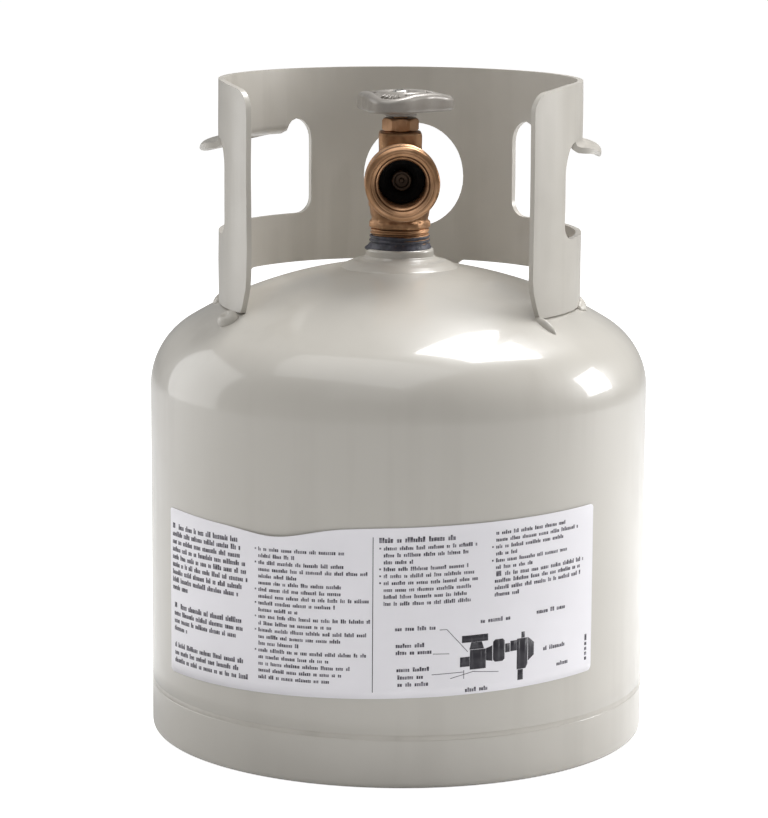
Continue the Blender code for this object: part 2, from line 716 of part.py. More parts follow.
def o_ring(centre_r, wire_r, z):
    """Outline of a round seal, without the doubled end point."""
    return arc((centre_r, z), wire_r, 0.0, 360.0, 6)[:-1]


def build_stems(materials, wheel_axis, seat_axis, lower_axis):
    """Upper stem turned by the wheel, and the lower stem that screws up and down below it."""
    square = polygon_radius(STEM_SQUARE / 2, 4, 3.7)
    levels = [(268.6, round_radius(5.6)), (270.6, round_radius(5.6)), (270.61, round_radius(3.3))]
    levels += [(280.2, round_radius(3.3)), (280.21, square), (288.2, square)]
    mesh = stacked_mesh("upper_stem", levels, 32)
    stem = add_object("upper_stem", mesh, materials["brass"], axis=wheel_axis)
    mesh_shift(stem, wheel_axis)
    tang = box_helper("tang", (-4.0, -0.8, 262.5), (4.0, 0.8, 269.5))
    join(stem, tang)
    cut(stem, turned("screw_socket", rod(2.1, 280.6, 290.0), None, 12))

    head = [(0, 241.9), (5.4, 241.9), (5.4, 244.4), (3.0, 244.8), (3.0, 256.8), (5.9, 257.4), (5.9, 264.0)]
    head.append((0, 264.0))
    lower = turned("lower_stem", head, materials["brass"], 24, axis=lower_axis)
    mesh_shift(lower, lower_axis)
    cut(lower, box_helper("slot", (-7.0, -1.15, 259.0), (7.0, 1.15, 265.0)))
    disc = turned("seat_disc", rod(4.9, SEAT_Z + 0.35, 241.6), materials["black_rubber"], 24, axis=seat_axis)
    mesh_shift(disc, seat_axis)


def mesh_shift(obj, axis):
    """Put the piece's origin on its axis empty, with its mesh where it was."""
    obj.data.transform(Matrix.Translation(-axis.location))
    obj.location = (0.0, 0.0, 0.0)


def build_handwheel(materials, axis):
    def lobes(inset):
        return lobed_radius(WHEEL_MEAN_R - inset, WHEEL_LOBE, WHEEL_CORNER_AT)

    levels = [(WHEEL_LOW_Z, lobes(0.9)), (WHEEL_LOW_Z + 1.0, lobes(0.0)), (WHEEL_TOP_Z - 2.2, lobes(0.0))]
    levels += [(WHEEL_TOP_Z - 0.7, lobes(0.7)), (WHEEL_TOP_Z, lobes(2.0))]
    mesh = stacked_mesh("handwheel", levels, 42)
    wheel = add_object("handwheel", mesh, materials["cast_grey"], axis=axis)
    mesh_shift(wheel, axis)
    under = [(WHEEL_LOW_Z - 1.0, lobes(3.2)), (WHEEL_TOP_Z - 3.2, lobes(4.0))]
    cut(wheel, add_object("wheel_hollow", stacked_mesh("wheel_hollow", under, 36), None))
    join(wheel, turned("wheel_hub", rod(7.2, 280.6, WHEEL_TOP_Z - 1.5), None, 24))
    hole = polygon_radius(STEM_SQUARE / 2 + GAP, 4, 4.3)
    levels = [(279.0, hole), (288.6, hole)]
    cut(wheel, add_object("square_hole", stacked_mesh("square_hole", levels, 16), None))
    cut(wheel, turned("wheel_recess", rod(6.4, 288.5, 293.0), None, 24))
    washer = turned("handwheel_washer", ring(2.2, 5.6, 288.8, 289.6), materials["zinc_steel"], 24, axis=axis)
    mesh_shift(washer, axis)
    head = [(0, 281.2), (1.8, 281.2), (1.8, 289.9), (3.9, 289.9), (3.9, 291.2), (2.6, 292.4), (0, 292.6)]
    screw = turned("handwheel_screw", head, materials["zinc_steel"], 20, axis=axis)
    mesh_shift(screw, axis)
    cut(screw, box_helper("screw_slot", (-6.0, -0.45, 291.7), (6.0, 0.45, 294.0)))


def build_outlet(materials, axis):
    """Soft seat ring at the bottom of the outlet and the sprung poppet in its middle."""
    floor = OUTLET_NOSE_Y - OUTLET_BORE_DEPTH
    at = (0, 0, OUTLET_Z)
    seat = [(5.0, floor + GAP), (OUTLET_BORE_R - GAP, floor + GAP), (OUTLET_BORE_R - GAP, floor + 4.6)]
    seat += [(7.4, floor + 4.6), (5.0, floor + 3.4)]
    turned("outlet_seat", seat, materials["black_rubber"], SMALL_ROUND, at, "-Y")
    tip = floor + 8.4
    poppet = [(0, floor - 0.6), (4.5, floor - 0.6), (4.5, tip - 0.6), (3.9, tip), (3.0, tip), (2.8, tip - 1.2)]
    poppet.append((0, tip - 1.2))
    turned("outlet_poppet", poppet, materials["brass"], 24, at, "-Y", axis)
    low = OUTLET_NOSE_Y - SPRING_BORE_DEPTH + GAP
    spring("outlet_spring", materials["zinc_steel"], 0.4, 4.3, low, floor - 0.9, 4, at, "-Y")


def build_relief(materials, axis):
    """Sprung poppet on the relief seat, held in by a ring nut at the back."""
    floor = RELIEF_NOSE_Y - RELIEF_BORE_DEPTH
    at = (0, 0, RELIEF_Z)
    poppet = [(0, floor + GAP), (4.4, floor + GAP), (4.4, floor + 2.4), (2.2, floor + 2.4)]
    poppet += [(2.2, floor + 9.0), (0, floor + 9.0)]
    turned("relief_poppet", poppet, materials["brass"], 20, at, "+Y", axis)
    nut_low = RELIEF_NOSE_Y - 4.6
    spring("relief_spring", materials["zinc_steel"], 0.5, 3.6, floor + 2.7, nut_low - GAP, 4, at, "+Y")
    nut_hole = polygon_radius(3.0, 6, 3.6)
    mesh = turned_mesh("relief_nut", rod(RELIEF_BORE_R - GAP, nut_low, RELIEF_NOSE_Y - 0.6), 20)
    nut = add_object("relief_nut", mesh, materials["brass"], at, "+Y")
    levels = [(nut_low - 1.0, nut_hole), (RELIEF_NOSE_Y + 1.0, nut_hole)]
    cut(nut, add_object("nut_hole", stacked_mesh("nut_hole", levels, 24), None, at, "+Y"))


def build_bleeder(materials, travel_axis, turn_axis):
    """Slotted level screw on the valve's left, with a gasket under its head that moves out with it."""
    at = (0, 0, BLEED_Z)
    face = BLEED_FACE_X
    turned("bleeder_gasket", ring(2.4, 3.6, face + GAP, face + 0.8), materials["white_nylon"], 16, at, "-X", travel_axis)
    outline = [(0, 8.9), (0.9, 8.9), (2.0, 10.0), (2.0, face + 1.1), (3.7, face + 1.1), (3.7, face + 2.6)]
    outline += [(3.2, face + 3.0), (0, face + 3.0)]
    screw = turned("bleeder_screw", outline, materials["brass"], 20, at, "-X", turn_axis)
    slot = box_helper("bleeder_slot", (-face - 5.0, -5.0, BLEED_Z - 0.45), (-face - 2.0, 5.0, BLEED_Z + 0.45))
    cut(screw, slot)


def build_overfill(materials, float_axis, piston_axis):
    """Plastic housing under the valve, its piston and spring, and the float on its swinging arm."""
    tube = [(4.9, OPD_LOW_Z + 7.0), (OPD_R, OPD_LOW_Z + 7.0), (OPD_R, OPD_TOP_Z), (INLET_R - GAP, OPD_TOP_Z)]
    tube += [(INLET_R - GAP, OPD_TOP_Z + 7.0), (2.2, OPD_TOP_Z + 7.0), (2.2, OPD_SEAT_Z), (4.9, OPD_SEAT_Z)]
    housing = turned("opd_housing", tube, materials["black_plastic"], 24)
    for side in (-1, 1):
        low_x, high_x = sorted((side * 3.4, side * 5.6))
        join(housing, box_helper(f"ear_{side}", (low_x, -3.2, PIVOT_Z - 4.0), (high_x, 3.2, OPD_LOW_Z + 9.0)))
    cut(housing, turned("pin_hole", rod(1.3, -8.0, 8.0), None, 12, (0, 0, PIVOT_Z), "-X"))
    cut(housing, box_helper("flow_window", (-9.0, -2.0, 170.5), (9.0, 2.0, 174.0)))
    turned("float_pin", rod(1.0, -6.4, 6.4), materials["zinc_steel"], 12, (0, 0, PIVOT_Z), "-X")

    piston = [(0, 176.4), (4.5, 176.4), (4.5, 179.4), (3.0, 180.6), (0, 180.6)]
    body = turned("opd_piston", piston, materials["white_nylon"], 20, axis=piston_axis)
    mesh_shift(body, piston_axis)
    spring("opd_spring", materials["zinc_steel"], 0.4, 3.9, OPD_LOW_Z + 9.0 + GAP, 176.1, 4)

    bar = box_helper("arm_bar", (-2.4, -1.5, FLOAT_TOP_Z - 3.0), (2.4, 1.5, PIVOT_Z))
    arm = turned("float_arm", rod(3.0, -2.4, 2.4), materials["black_plastic"], 20, (0, 0, PIVOT_Z), "-X", float_axis)
    join(arm, bar)
    cut(arm, turned("arm_hole", rod(1.3, -5.0, 5.0), None, 12, (0, 0, PIVOT_Z), "-X"))
    low = FLOAT_TOP_Z - FLOAT_LENGTH
    shape = [(0, low), (FLOAT_R - 2.0, low), (FLOAT_R, low + 2.0), (FLOAT_R, FLOAT_TOP_Z - 2.0)]
    shape += [(FLOAT_R - 2.0, FLOAT_TOP_Z), (0, FLOAT_TOP_Z)]
    float_body = turned("float", shape, materials["white_nylon"], 24, axis=float_axis)
    mesh_shift(float_body, float_axis)
    socket = box_helper("arm_socket", (-2.7, -1.8, FLOAT_TOP_Z - 3.3), (2.7, 1.8, FLOAT_TOP_Z + 1.0))
    cut(float_body, socket)
    tube = ring(0.9, 1.6, DIP_LOW_Z, DIP_TOP_Z)
    turned("dip_tube", tube, materials["brass"], 12, (-DIP_X, 0, 0))


def main():
    clear_scene()
    materials = make_materials()
    build_upper_shell(materials)
    build_bottom_head(materials)
    build_foot_ring(materials)
    build_coupling(materials)
    build_collar(materials)
    build_collar_welds(materials)
    build_label(materials)
    build_valve_body(materials)
    build_thread_sealant(materials)
    build_bonnet(materials)
    wheel_axis = add_axis("handwheel_axis", (0, 0, WHEEL_LOW_Z))
    seat_axis = add_axis("seat_lift_axis", (0, 0, SEAT_Z))
    lower_axis = add_axis("lower_stem_axis", (0, 0, SEAT_Z))
    build_stems(materials, wheel_axis, seat_axis, lower_axis)
    build_handwheel(materials, wheel_axis)
    build_outlet(materials, add_axis("outlet_axis", (0, 0, OUTLET_Z)))
    build_relief(materials, add_axis("relief_axis", (0, 0, RELIEF_Z)))
    bleed_at = (0, 0, BLEED_Z)
    build_bleeder(materials, add_axis("bleeder_travel_axis", bleed_at), add_axis("bleeder_axis", bleed_at))
    float_axis = add_axis("float_axis", (0, 0, PIVOT_Z))
    piston_axis = add_axis("piston_axis", (0, 0, OPD_SEAT_Z))
    build_overfill(materials, float_axis, piston_axis)


main()
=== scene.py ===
"""Looks of a small refillable propane tank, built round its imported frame.

Sizes are in millimetres until they become coordinates, which are in metres with +Z up.
A bearing is an angle about the tank's axis from the valve outlet's direction (-Y), positive towards +X.
"""

import json
import logging
import math
import random
from collections.abc import Callable, Iterable, Sequence
from dataclasses import dataclass, field
from enum import Enum
from functools import cache

import bmesh
import bpy
from mathutils import Matrix, Vector, noise


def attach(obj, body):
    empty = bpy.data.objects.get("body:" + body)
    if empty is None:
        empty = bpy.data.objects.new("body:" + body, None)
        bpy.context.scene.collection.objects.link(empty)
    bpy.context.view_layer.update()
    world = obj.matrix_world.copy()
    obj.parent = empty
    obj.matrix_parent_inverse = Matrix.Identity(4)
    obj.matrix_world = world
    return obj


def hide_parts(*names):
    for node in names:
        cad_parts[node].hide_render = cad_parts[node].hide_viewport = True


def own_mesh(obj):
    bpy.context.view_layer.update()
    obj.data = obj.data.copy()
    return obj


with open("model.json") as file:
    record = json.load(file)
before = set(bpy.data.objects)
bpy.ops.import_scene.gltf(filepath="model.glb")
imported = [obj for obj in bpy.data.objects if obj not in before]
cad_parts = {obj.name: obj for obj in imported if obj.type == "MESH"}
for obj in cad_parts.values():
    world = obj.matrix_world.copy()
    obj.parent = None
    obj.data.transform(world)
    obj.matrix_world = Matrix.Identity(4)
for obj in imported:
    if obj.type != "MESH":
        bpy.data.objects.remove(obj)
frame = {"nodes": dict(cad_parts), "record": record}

MM = 0.001
TURN_STEPS = 144
LOG = logging.getLogger("tank")

Outline = Sequence[tuple[float, ...]]
Colour = tuple[float, float, float]
Piece = bpy.types.Object
Node = bpy.types.Node
Tree = bpy.types.NodeTree
Socket = bpy.types.NodeSocket
Surface = bmesh.types.BMesh


class Body(Enum):
    """Bodies of the frame that pieces ride on."""

    CYLINDER = "cylinder"
    HANDWHEEL = "handwheel_group"
    OUTLET_CHECK = "outlet_check"
    RELIEF = "relief"
    BLEEDER = "bleeder"
    BLEEDER_SLIDE = "bleeder_slide"


class Slot(Enum):
    """Material slots of the record."""

    GREY_PAINT = "grey_paint"
    BARE_STEEL = "bare_steel"
    BRASS = "brass"
    SEALANT = "sealant"
    CAST_GREY = "cast_grey"
    ZINC_STEEL = "zinc_steel"
    BLACK_RUBBER = "black_rubber"
    WHITE_NYLON = "white_nylon"
    BLACK_PLASTIC = "black_plastic"
    LABEL_PAPER = "label_paper"


class Side(Enum):
    """Sides of the tank as seen from the outlet."""

    LEFT = -1
    RIGHT = 1


class Facing(Enum):
    """Turns that point a piece's own +Z along an axis of the tank."""

    FRONT = (math.pi / 2, 0.0, 0.0)
    BACK = (-math.pi / 2, 0.0, 0.0)
    LEFT = (0.0, -math.pi / 2, 0.0)


def polar(radius: float, bearing: float, z: float) -> Vector:
    """Point at a radius, a bearing in degrees and a height.

    Args:
        radius: distance from the tank's axis, in millimetres.
        bearing: angle from -Y towards +X, in degrees.
        z: height in millimetres.

    Returns:
        The point in metres.
    """
    angle = math.radians(bearing)
    return Vector((radius * math.sin(angle), -radius * math.cos(angle), z)) * MM


def placed(facing: Facing, at: Sequence[float]) -> Matrix:
    """Matrix that turns a piece's +Z to a facing and moves it.

    Args:
        facing: where the piece's own +Z goes.
        at: the new place of its origin, in millimetres.

    Returns:
        The 4 by 4 matrix in metres.
    """
    turn = Matrix.Rotation(facing.value[0], 4, "X") @ Matrix.Rotation(facing.value[1], 4, "Y")
    return Matrix.Translation(Vector(at) * MM) @ turn


def eased(share: float) -> float:
    """Quarter-circle rise from 0 to 1."""
    share = min(max(share, 0.0), 1.0)
    return math.sqrt(max(0.0, 1.0 - (1.0 - share) ** 2))


def waved(point: Vector, size: float) -> float:
    """Smooth noise between -1 and 1 at a point in metres, with features of that many millimetres."""
    return noise.noise(point / (size * MM))


def softened(outline: Outline, steps: int = 3) -> list[tuple[float, float]]:
    """Round the corners of a closed outline.

    Args:
        outline: points (r, z) or (r, z, fillet radius), in millimetres.
        steps: straight pieces in each rounded corner.

    Returns:
        The points (r, z) of the rounded outline.
    """
    points = [Vector(entry[:2]) for entry in outline]
    result: list[tuple[float, float]] = []
    for i, point in enumerate(points):
        fillet = outline[i][2] if len(outline[i]) > 2 else 0.0
        before = points[i - 1] - point
        after = points[(i + 1) % len(points)] - point
        if fillet <= 0.0 or before.length < 1e-6 or after.length < 1e-6:
            result.append((point.x, point.y))
            continue
        reach = min(fillet / math.tan(before.angle(after) / 2), 0.45 * before.length, 0.45 * after.length)
        start = point + before.normalized() * reach
        end = point + after.normalized() * reach
        for k in range(steps + 1):
            t = k / steps
            spot = start * (1 - t) ** 2 + point * (2 * t * (1 - t)) + end * t**2
            result.append((spot.x, spot.y))
    return result


def arc(
    centre: tuple[float, float], radius: float, start: float, end: float, steps: int,
) -> list[tuple[float, float]]:
    """Points (r, z) on an arc.

    Args:
        centre: its middle (r, z).
        radius: its radius.
        start: first angle in degrees from +r.
        end: last angle in degrees.
        steps: straight pieces in it.

    Returns:
        The points, both ends included.
    """
    angles = [math.radians(start + (end - start) * i / steps) for i in range(steps + 1)]
    return [(centre[0] + radius * math.cos(a), centre[1] + radius * math.sin(a)) for a in angles]


def linked(name: str, mesh: bpy.types.Mesh) -> Piece:
    """Object of a mesh, put in the scene.

    Args:
        name: the object's name.
        mesh: its mesh.

    Returns:
        The object.
    """
    obj = bpy.data.objects.new(name, mesh)
    bpy.context.scene.collection.objects.link(obj)
    return obj


def even_normals(obj: Piece) -> Piece:
    """Weight the shading by face area, so that flat faces stay flat beside rounded corners.

    Args:
        obj: the piece, which gets a live modifier.

    Returns:
        The same piece.
    """
    modifier = obj.modifiers.new("even_normals", "WEIGHTED_NORMAL")
    modifier.keep_sharp = False
    modifier.weight = 50
    return obj


def thickened(obj: Piece, thickness: float, offset: float = -1.0) -> None:
    """Give a sheet its thickness in millimetres, inwards by default.

    Args:
        obj: the sheet.
        thickness: the wall in millimetres.
        offset: -1 for inwards, 1 for outwards.
    """
    modifier = obj.modifiers.new("plate", "SOLIDIFY")
    modifier.thickness = thickness * MM
    modifier.offset = offset
    modifier.use_even_offset = True
    modifier.use_quality_normals = True


def bevelled(obj: Piece, width: float, segments: int = 2, angle: float = 40.0) -> None:
    """Round the edges that are sharper than an angle in degrees, by a width in millimetres.

    Args:
        obj: the piece.
        width: width of the rounding in millimetres.
        segments: faces across it.
        angle: the least angle, in degrees.
    """
    modifier = obj.modifiers.new("rounded_edges", "BEVEL")
    modifier.width = width * MM
    modifier.segments = segments
    modifier.limit_method = "ANGLE"
    modifier.angle_limit = math.radians(angle)


def rippled(obj: Piece, strength: float, size: float) -> None:
    """Move the surface in and out a little.

    Args:
        obj: the piece.
        strength: how far from hollow to crest, in millimetres.
        size: width of the waves, in millimetres.
    """
    texture = bpy.data.textures.new(f"{obj.name}_waves", "CLOUDS")
    texture.noise_scale = size * MM
    texture.noise_depth = 1
    modifier = obj.modifiers.new("waves", "DISPLACE")
    modifier.texture = texture
    modifier.texture_coords = "LOCAL"
    modifier.strength = strength * MM
    modifier.mid_level = 0.5


def settle(obj: Piece, place: Matrix | None = None) -> Piece:
    """Apply a piece's modifier stack, and then its place.

    Args:
        obj: the piece, at the origin.
        place: where it goes, or None to leave it.

    Returns:
        The same piece.
    """
    graph = bpy.context.evaluated_depsgraph_get()
    mesh = bpy.data.meshes.new_from_object(obj.evaluated_get(graph), depsgraph=graph)
    obj.modifiers.clear()
    old = obj.data
    mesh.name = old.name
    obj.data = mesh
    bpy.data.meshes.remove(old)
    if place is not None:
        mesh.transform(place)
    return obj


def carved(obj: Piece, tool: Piece, operation: str = "DIFFERENCE") -> Piece:
    """Cut a piece with a tool or join them, and remove the tool.

    Args:
        obj: the piece that stays.
        tool: the helper, removed afterwards.
        operation: DIFFERENCE or UNION.

    Returns:
        The piece, with its stack applied.
    """
    modifier = obj.modifiers.new("carve", "BOOLEAN")
    modifier.operation = operation
    modifier.solver = "EXACT"
    modifier.object = tool
    settle(obj)
    bpy.data.objects.remove(tool)
    return obj


def lathe(name: str, outline: Outline, steps: int = TURN_STEPS, corner_steps: int = 3) -> Piece:
    """Turned piece about Z, as a live Screw on its outline.

    Args:
        name: the piece's name.
        outline: closed outline (r, z) or (r, z, fillet), in millimetres. It may start and end on the axis.
        steps: pieces round the turn.
        corner_steps: straight pieces in each rounded corner.

    Returns:
        The piece, at the origin.
    """
    points = softened(outline, corner_steps)
    area = sum(a[0] * b[1] - b[0] * a[1] for a, b in zip(points, points[1:] + points[:1]))
    if area > 0.0:
        points.reverse()
    on_axis = [i for i, point in enumerate(points) if point[0] < 1e-6]
    edges = [(i, (i + 1) % len(points)) for i in range(len(points))]
    if len(on_axis) == 2:
        first, last = on_axis
        gap = (first, last) if last == first + 1 else (last, first)
        edges = [edge for edge in edges if edge != gap]
    mesh = bpy.data.meshes.new(name)
    mesh.from_pydata([(r * MM, 0.0, z * MM) for r, z in points], edges, [])
    obj = linked(name, mesh)
    screw = obj.modifiers.new("turn", "SCREW")
    screw.steps = steps
    screw.render_steps = steps
    screw.use_merge_vertices = True
    screw.merge_threshold = 1e-6
    screw.use_smooth_shade = True
    return obj


def closed_mesh(name: str, bm: Surface) -> bpy.types.Mesh:
    """Mesh of a closed bmesh, with doubles merged, faces pointing outwards and smooth shading.

    Args:
        name: the mesh's name.
        bm: the closed surface, freed here.

    Returns:
        The mesh.
    """
    bmesh.ops.remove_doubles(bm, verts=bm.verts, dist=1e-7)
    bmesh.ops.recalc_face_normals(bm, faces=bm.faces)
    if bm.calc_volume(signed=True) < 0.0:
        bmesh.ops.reverse_faces(bm, faces=bm.faces)
    mesh = bpy.data.meshes.new(name)
    bm.to_mesh(mesh)
    bm.free()
    mesh.shade_smooth()
    return mesh


def lofted(name: str, rings: Sequence[Sequence[Vector]], looped: bool = False) -> Piece:
    """Closed skin through rings of equal size.

    Args:
        name: the piece's name.
        rings: each a closed ring of points in metres.
        looped: whether the last ring joins the first. Otherwise both ends are capped.

    Returns:
        The piece.
    """
    bm = bmesh.new()
    rows = [[bm.verts.new(point) for point in ring] for ring in rings]
    pairs = list(zip(rows, rows[1:]))
    if looped:
        pairs.append((rows[-1], rows[0]))
    count = len(rows[0])
    for first, second in pairs:
        for i in range(count):
            j = (i + 1) % count
            bm.faces.new((first[i], first[j], second[j], second[i]))
    if not looped:
        bm.faces.new(rows[0][::-1])
        bm.faces.new(rows[-1])
    return linked(name, closed_mesh(name, bm))


def box_tool(name: str, low: Sequence[float], high: Sequence[float]) -> Piece:
    """Plain box used as a cutting tool.

    Args:
        name: the tool's name.
        low: lowest corner in millimetres.
        high: highest corner.

    Returns:
        The tool.
    """
    bm = bmesh.new()
    bmesh.ops.create_cube(bm, size=1.0)
    bmesh.ops.scale(bm, vec=(Vector(high) - Vector(low)) * MM, verts=bm.verts)
    bmesh.ops.translate(bm, vec=(Vector(high) + Vector(low)) / 2 * MM, verts=bm.verts)
    return linked(name, closed_mesh(name, bm))


def round_ring(radius: Callable[[float], float] | float, z: float, steps: int) -> list[Vector]:
    """Ring about Z whose radius may depend on the angle in radians from +X, in metres.

    Args:
        radius: a radius in millimetres, or a function of the angle.
        z: height in millimetres.
        steps: points in the ring.

    Returns:
        The points in metres.
    """
    ring = []
    for i in range(steps):
        angle = 2 * math.pi * i / steps
        reach = radius(angle) if callable(radius) else radius
        ring.append(Vector((reach * math.cos(angle), reach * math.sin(angle), z)) * MM)
    return ring


def polygon_radius(
    flat_half: float, sides: int, corner_r: float, turn: float = 0.0,
) -> Callable[[float], float]:
    """Radius of a polygon with flats at flat_half whose corners a circle cuts.

    Args:
        flat_half: distance from the middle to a flat, in millimetres.
        sides: number of flats.
        corner_r: radius of the circle that cuts the corners.
        turn: turn of the polygon in radians.

    Returns:
        The radius as a function of the angle in radians.
    """
    sector = 2 * math.pi / sides

    def radius(angle: float) -> float:
        """Radius at an angle."""
        local = (angle - turn + sector / 2) % sector - sector / 2
        return min(flat_half / math.cos(local), corner_r)

    return radius


def thread_ring(
    low: float, high: float, crest: float, depth: float, pitch: float, steps: int,
) -> list[list[Vector]]:
    """Rings of a helical thread that runs out at both ends.

    Args:
        low: first height in millimetres.
        high: last height.
        crest: crest radius.
        depth: depth of the groove. A negative depth makes an inside thread.
        pitch: rise of one turn.
        steps: points in a ring.

    Returns:
        Rings from low to high.
    """
    count = max(2, round((high - low) / (pitch / 10)))
    rings = []
    for k in range(count + 1):
        z = low + (high - low) * k / count
        ring = []
        for i in range(steps):
            angle = 2 * math.pi * i / steps
            phase = ((z - low) / pitch - angle / (2 * math.pi)) % 1.0
            groove = min(1.0, max(0.0, 2.2 * (0.5 - abs(2.0 * phase - 1.0)) + 0.5))
            runout = min(1.0, (z - low) / (0.6 * pitch), (high - z) / (0.6 * pitch))
            reach = crest - depth * groove * max(0.0, runout)
            ring.append(Vector((reach * math.cos(angle), reach * math.sin(angle), z)) * MM)
        rings.append(ring)
    return rings


# Finishes


class Graph:
    """Builder of nodes and links in one node tree."""

    def __init__(self, tree: Tree) -> None:
        """Keep the tree that the nodes go in."""
        self.tree = tree

    def add(self, kind: str, inputs: dict | None = None, **settings: object) -> Node:
        """Add a node.

        Args:
            kind: the node's type name.
            inputs: socket names or numbers, with a value or a socket to link from.
            settings: attributes of the node itself.

        Returns:
            The node.
        """
        node = self.tree.nodes.new(kind)
        for key, value in settings.items():
            setattr(node, key, value)
        for key, value in (inputs or {}).items():
            if isinstance(value, Socket):
                self.tree.links.new(value, node.inputs[key])
            else:
                node.inputs[key].default_value = value
        return node

    def mix(self, factor: object, first: object, second: object) -> Socket:
        """Blend two colours, each a colour or a socket, and return the blended socket."""
        values = {0: factor, 6: first, 7: second}
        return self.add("ShaderNodeMix", values, data_type="RGBA").outputs[2]

    def spread(self, value: Socket, low: float, high: float, start: float = 0.0, end: float = 1.0) -> Socket:
        """Map a value from low..high to start..end, easing out at both ends."""
        values = {"Value": value, "From Min": low, "From Max": high, "To Min": start, "To Max": end}
        return self.add("ShaderNodeMapRange", values, interpolation_type="SMOOTHSTEP").outputs[0]


def opaque(colour: Colour) -> tuple[float, float, float, float]:
    """Colour with full alpha."""
    return (*colour, 1.0)


class Effects:
    """Shader effects that several finishes share, each built once as a node group."""

    def start(self, name: str, inputs: dict[str, float], outputs: dict[str, str]) -> tuple[Graph, Node, Node]:
        """Begin a group.

        Args:
            name: the group's name.
            inputs: number sockets with their defaults.
            outputs: sockets with their socket types.

        Returns:
            The graph, its input node and its output node.
        """
        tree = bpy.data.node_groups.new(name, "ShaderNodeTree")
        for key, value in inputs.items():
            socket = tree.interface.new_socket(name=key, in_out="INPUT", socket_type="NodeSocketFloat")
            socket.default_value = value
        for key, kind in outputs.items():
            tree.interface.new_socket(name=key, in_out="OUTPUT", socket_type=kind)
        graph = Graph(tree)
        return graph, graph.add("NodeGroupInput"), graph.add("NodeGroupOutput")

    @cache
    def mottle(self) -> Tree:
        """Soft uneven patches, from 0 to 1.

        Returns:
            The node group.
        """
        graph, given, result = self.start(
            "soft_mottle", {"Scale": 30.0, "Detail": 3.0}, {"Value": "NodeSocketFloat"},
        )
        place = graph.add("ShaderNodeTexCoord").outputs["Object"]
        inputs = {"Vector": place, "Scale": given.outputs["Scale"], "Detail": given.outputs["Detail"]}
        patches = graph.add("ShaderNodeTexNoise", inputs)
        even = graph.spread(patches.outputs["Fac"], 0.25, 0.75)
        graph.tree.links.new(even, result.inputs["Value"])
        return graph.tree

    @cache
    def streaks(self) -> Tree:
        """Long streaks that run down the piece, from 0 to 1.

        Returns:
            The node group.
        """
        graph, given, result = self.start(
            "down_streaks", {"Scale": 60.0, "Stretch": 0.06}, {"Value": "NodeSocketFloat"},
        )
        place = graph.add("ShaderNodeTexCoord").outputs["Object"]
        squash = graph.add("ShaderNodeCombineXYZ", {"X": 1.0, "Y": 1.0, "Z": given.outputs["Stretch"]})
        along = graph.add("ShaderNodeVectorMath", {0: place, 1: squash.outputs[0]}, operation="MULTIPLY")
        inputs = {"Vector": along.outputs[0], "Scale": given.outputs["Scale"], "Detail": 4.0}
        lines = graph.add("ShaderNodeTexNoise", inputs)
        even = graph.spread(lines.outputs["Fac"], 0.35, 0.65)
        graph.tree.links.new(even, result.inputs["Value"])
        return graph.tree

    @cache
    def relief(self) -> Tree:
        """Fine bumps of one size, as a normal and a height.

        Returns:
            The node group.
        """
        outputs = {"Normal": "NodeSocketVector", "Height": "NodeSocketFloat"}
        graph, given, result = self.start(
            "fine_relief", {"Scale": 900.0, "Strength": 0.3, "Depth": 0.00005}, outputs,
        )
        place = graph.add("ShaderNodeTexCoord").outputs["Object"]
        inputs = {"Vector": place, "Scale": given.outputs["Scale"], "Detail": 2.0}
        grain = graph.add("ShaderNodeTexNoise", inputs).outputs["Fac"]
        inputs = {"Height": grain, "Strength": given.outputs["Strength"], "Distance": given.outputs["Depth"]}
        bump = graph.add("ShaderNodeBump", inputs)
        graph.tree.links.new(bump.outputs[0], result.inputs["Normal"])
        graph.tree.links.new(grain, result.inputs["Height"])
        return graph.tree

    @cache
    def specks(self) -> Tree:
        """Small scattered specks, from 0 to 1.

        Returns:
            The node group.
        """
        graph, given, result = self.start(
            "small_specks", {"Scale": 400.0, "Share": 0.2}, {"Value": "NodeSocketFloat"},
        )
        place = graph.add("ShaderNodeTexCoord").outputs["Object"]
        cells = graph.add("ShaderNodeTexVoronoi", {"Vector": place, "Scale": given.outputs["Scale"]})
        edge = graph.add(
            "ShaderNodeMath", {0: given.outputs["Share"], 1: cells.outputs["Distance"]},
            operation="SUBTRACT",
        )
        even = graph.spread(edge.outputs[0], 0.0, 0.08)
        graph.tree.links.new(even, result.inputs["Value"])
        return graph.tree

    @cache
    def edge_highlight(self) -> Tree:
        """Painted highlight along sharp outer edges, from 0 to 1.

        Returns:
            The node group.
        """
        graph, given, result = self.start(
            "painted_edge_highlight", {"Low": 0.52, "High": 0.6}, {"Value": "NodeSocketFloat"},
        )
        # Painted highlight: pointiness picks out sharp edges so that they can be lightened as if lit.
        sharp = graph.add("ShaderNodeNewGeometry").outputs["Pointiness"]
        inputs = {"Value": sharp, "From Min": given.outputs["Low"], "From Max": given.outputs["High"]}
        even = graph.add("ShaderNodeMapRange", inputs, clamp=True)
        graph.tree.links.new(even.outputs[0], result.inputs["Value"])
        return graph.tree


EFFECTS = Effects()
GLOSS_DRIFT = 0.12
GLOSS_PATCH = 3.0


def use(graph: Graph, group: Tree, **values: float) -> Node:
    """Place a shared effect in a material with its own values.

    Args:
        graph: the material's graph.
        group: the effect's node group.
        values: its input values, by name in lower case.

    Returns:
        The group node.
    """
    node = graph.add("ShaderNodeGroup", node_tree=group)
    for key, value in values.items():
        node.inputs[key.capitalize()].default_value = value
    return node


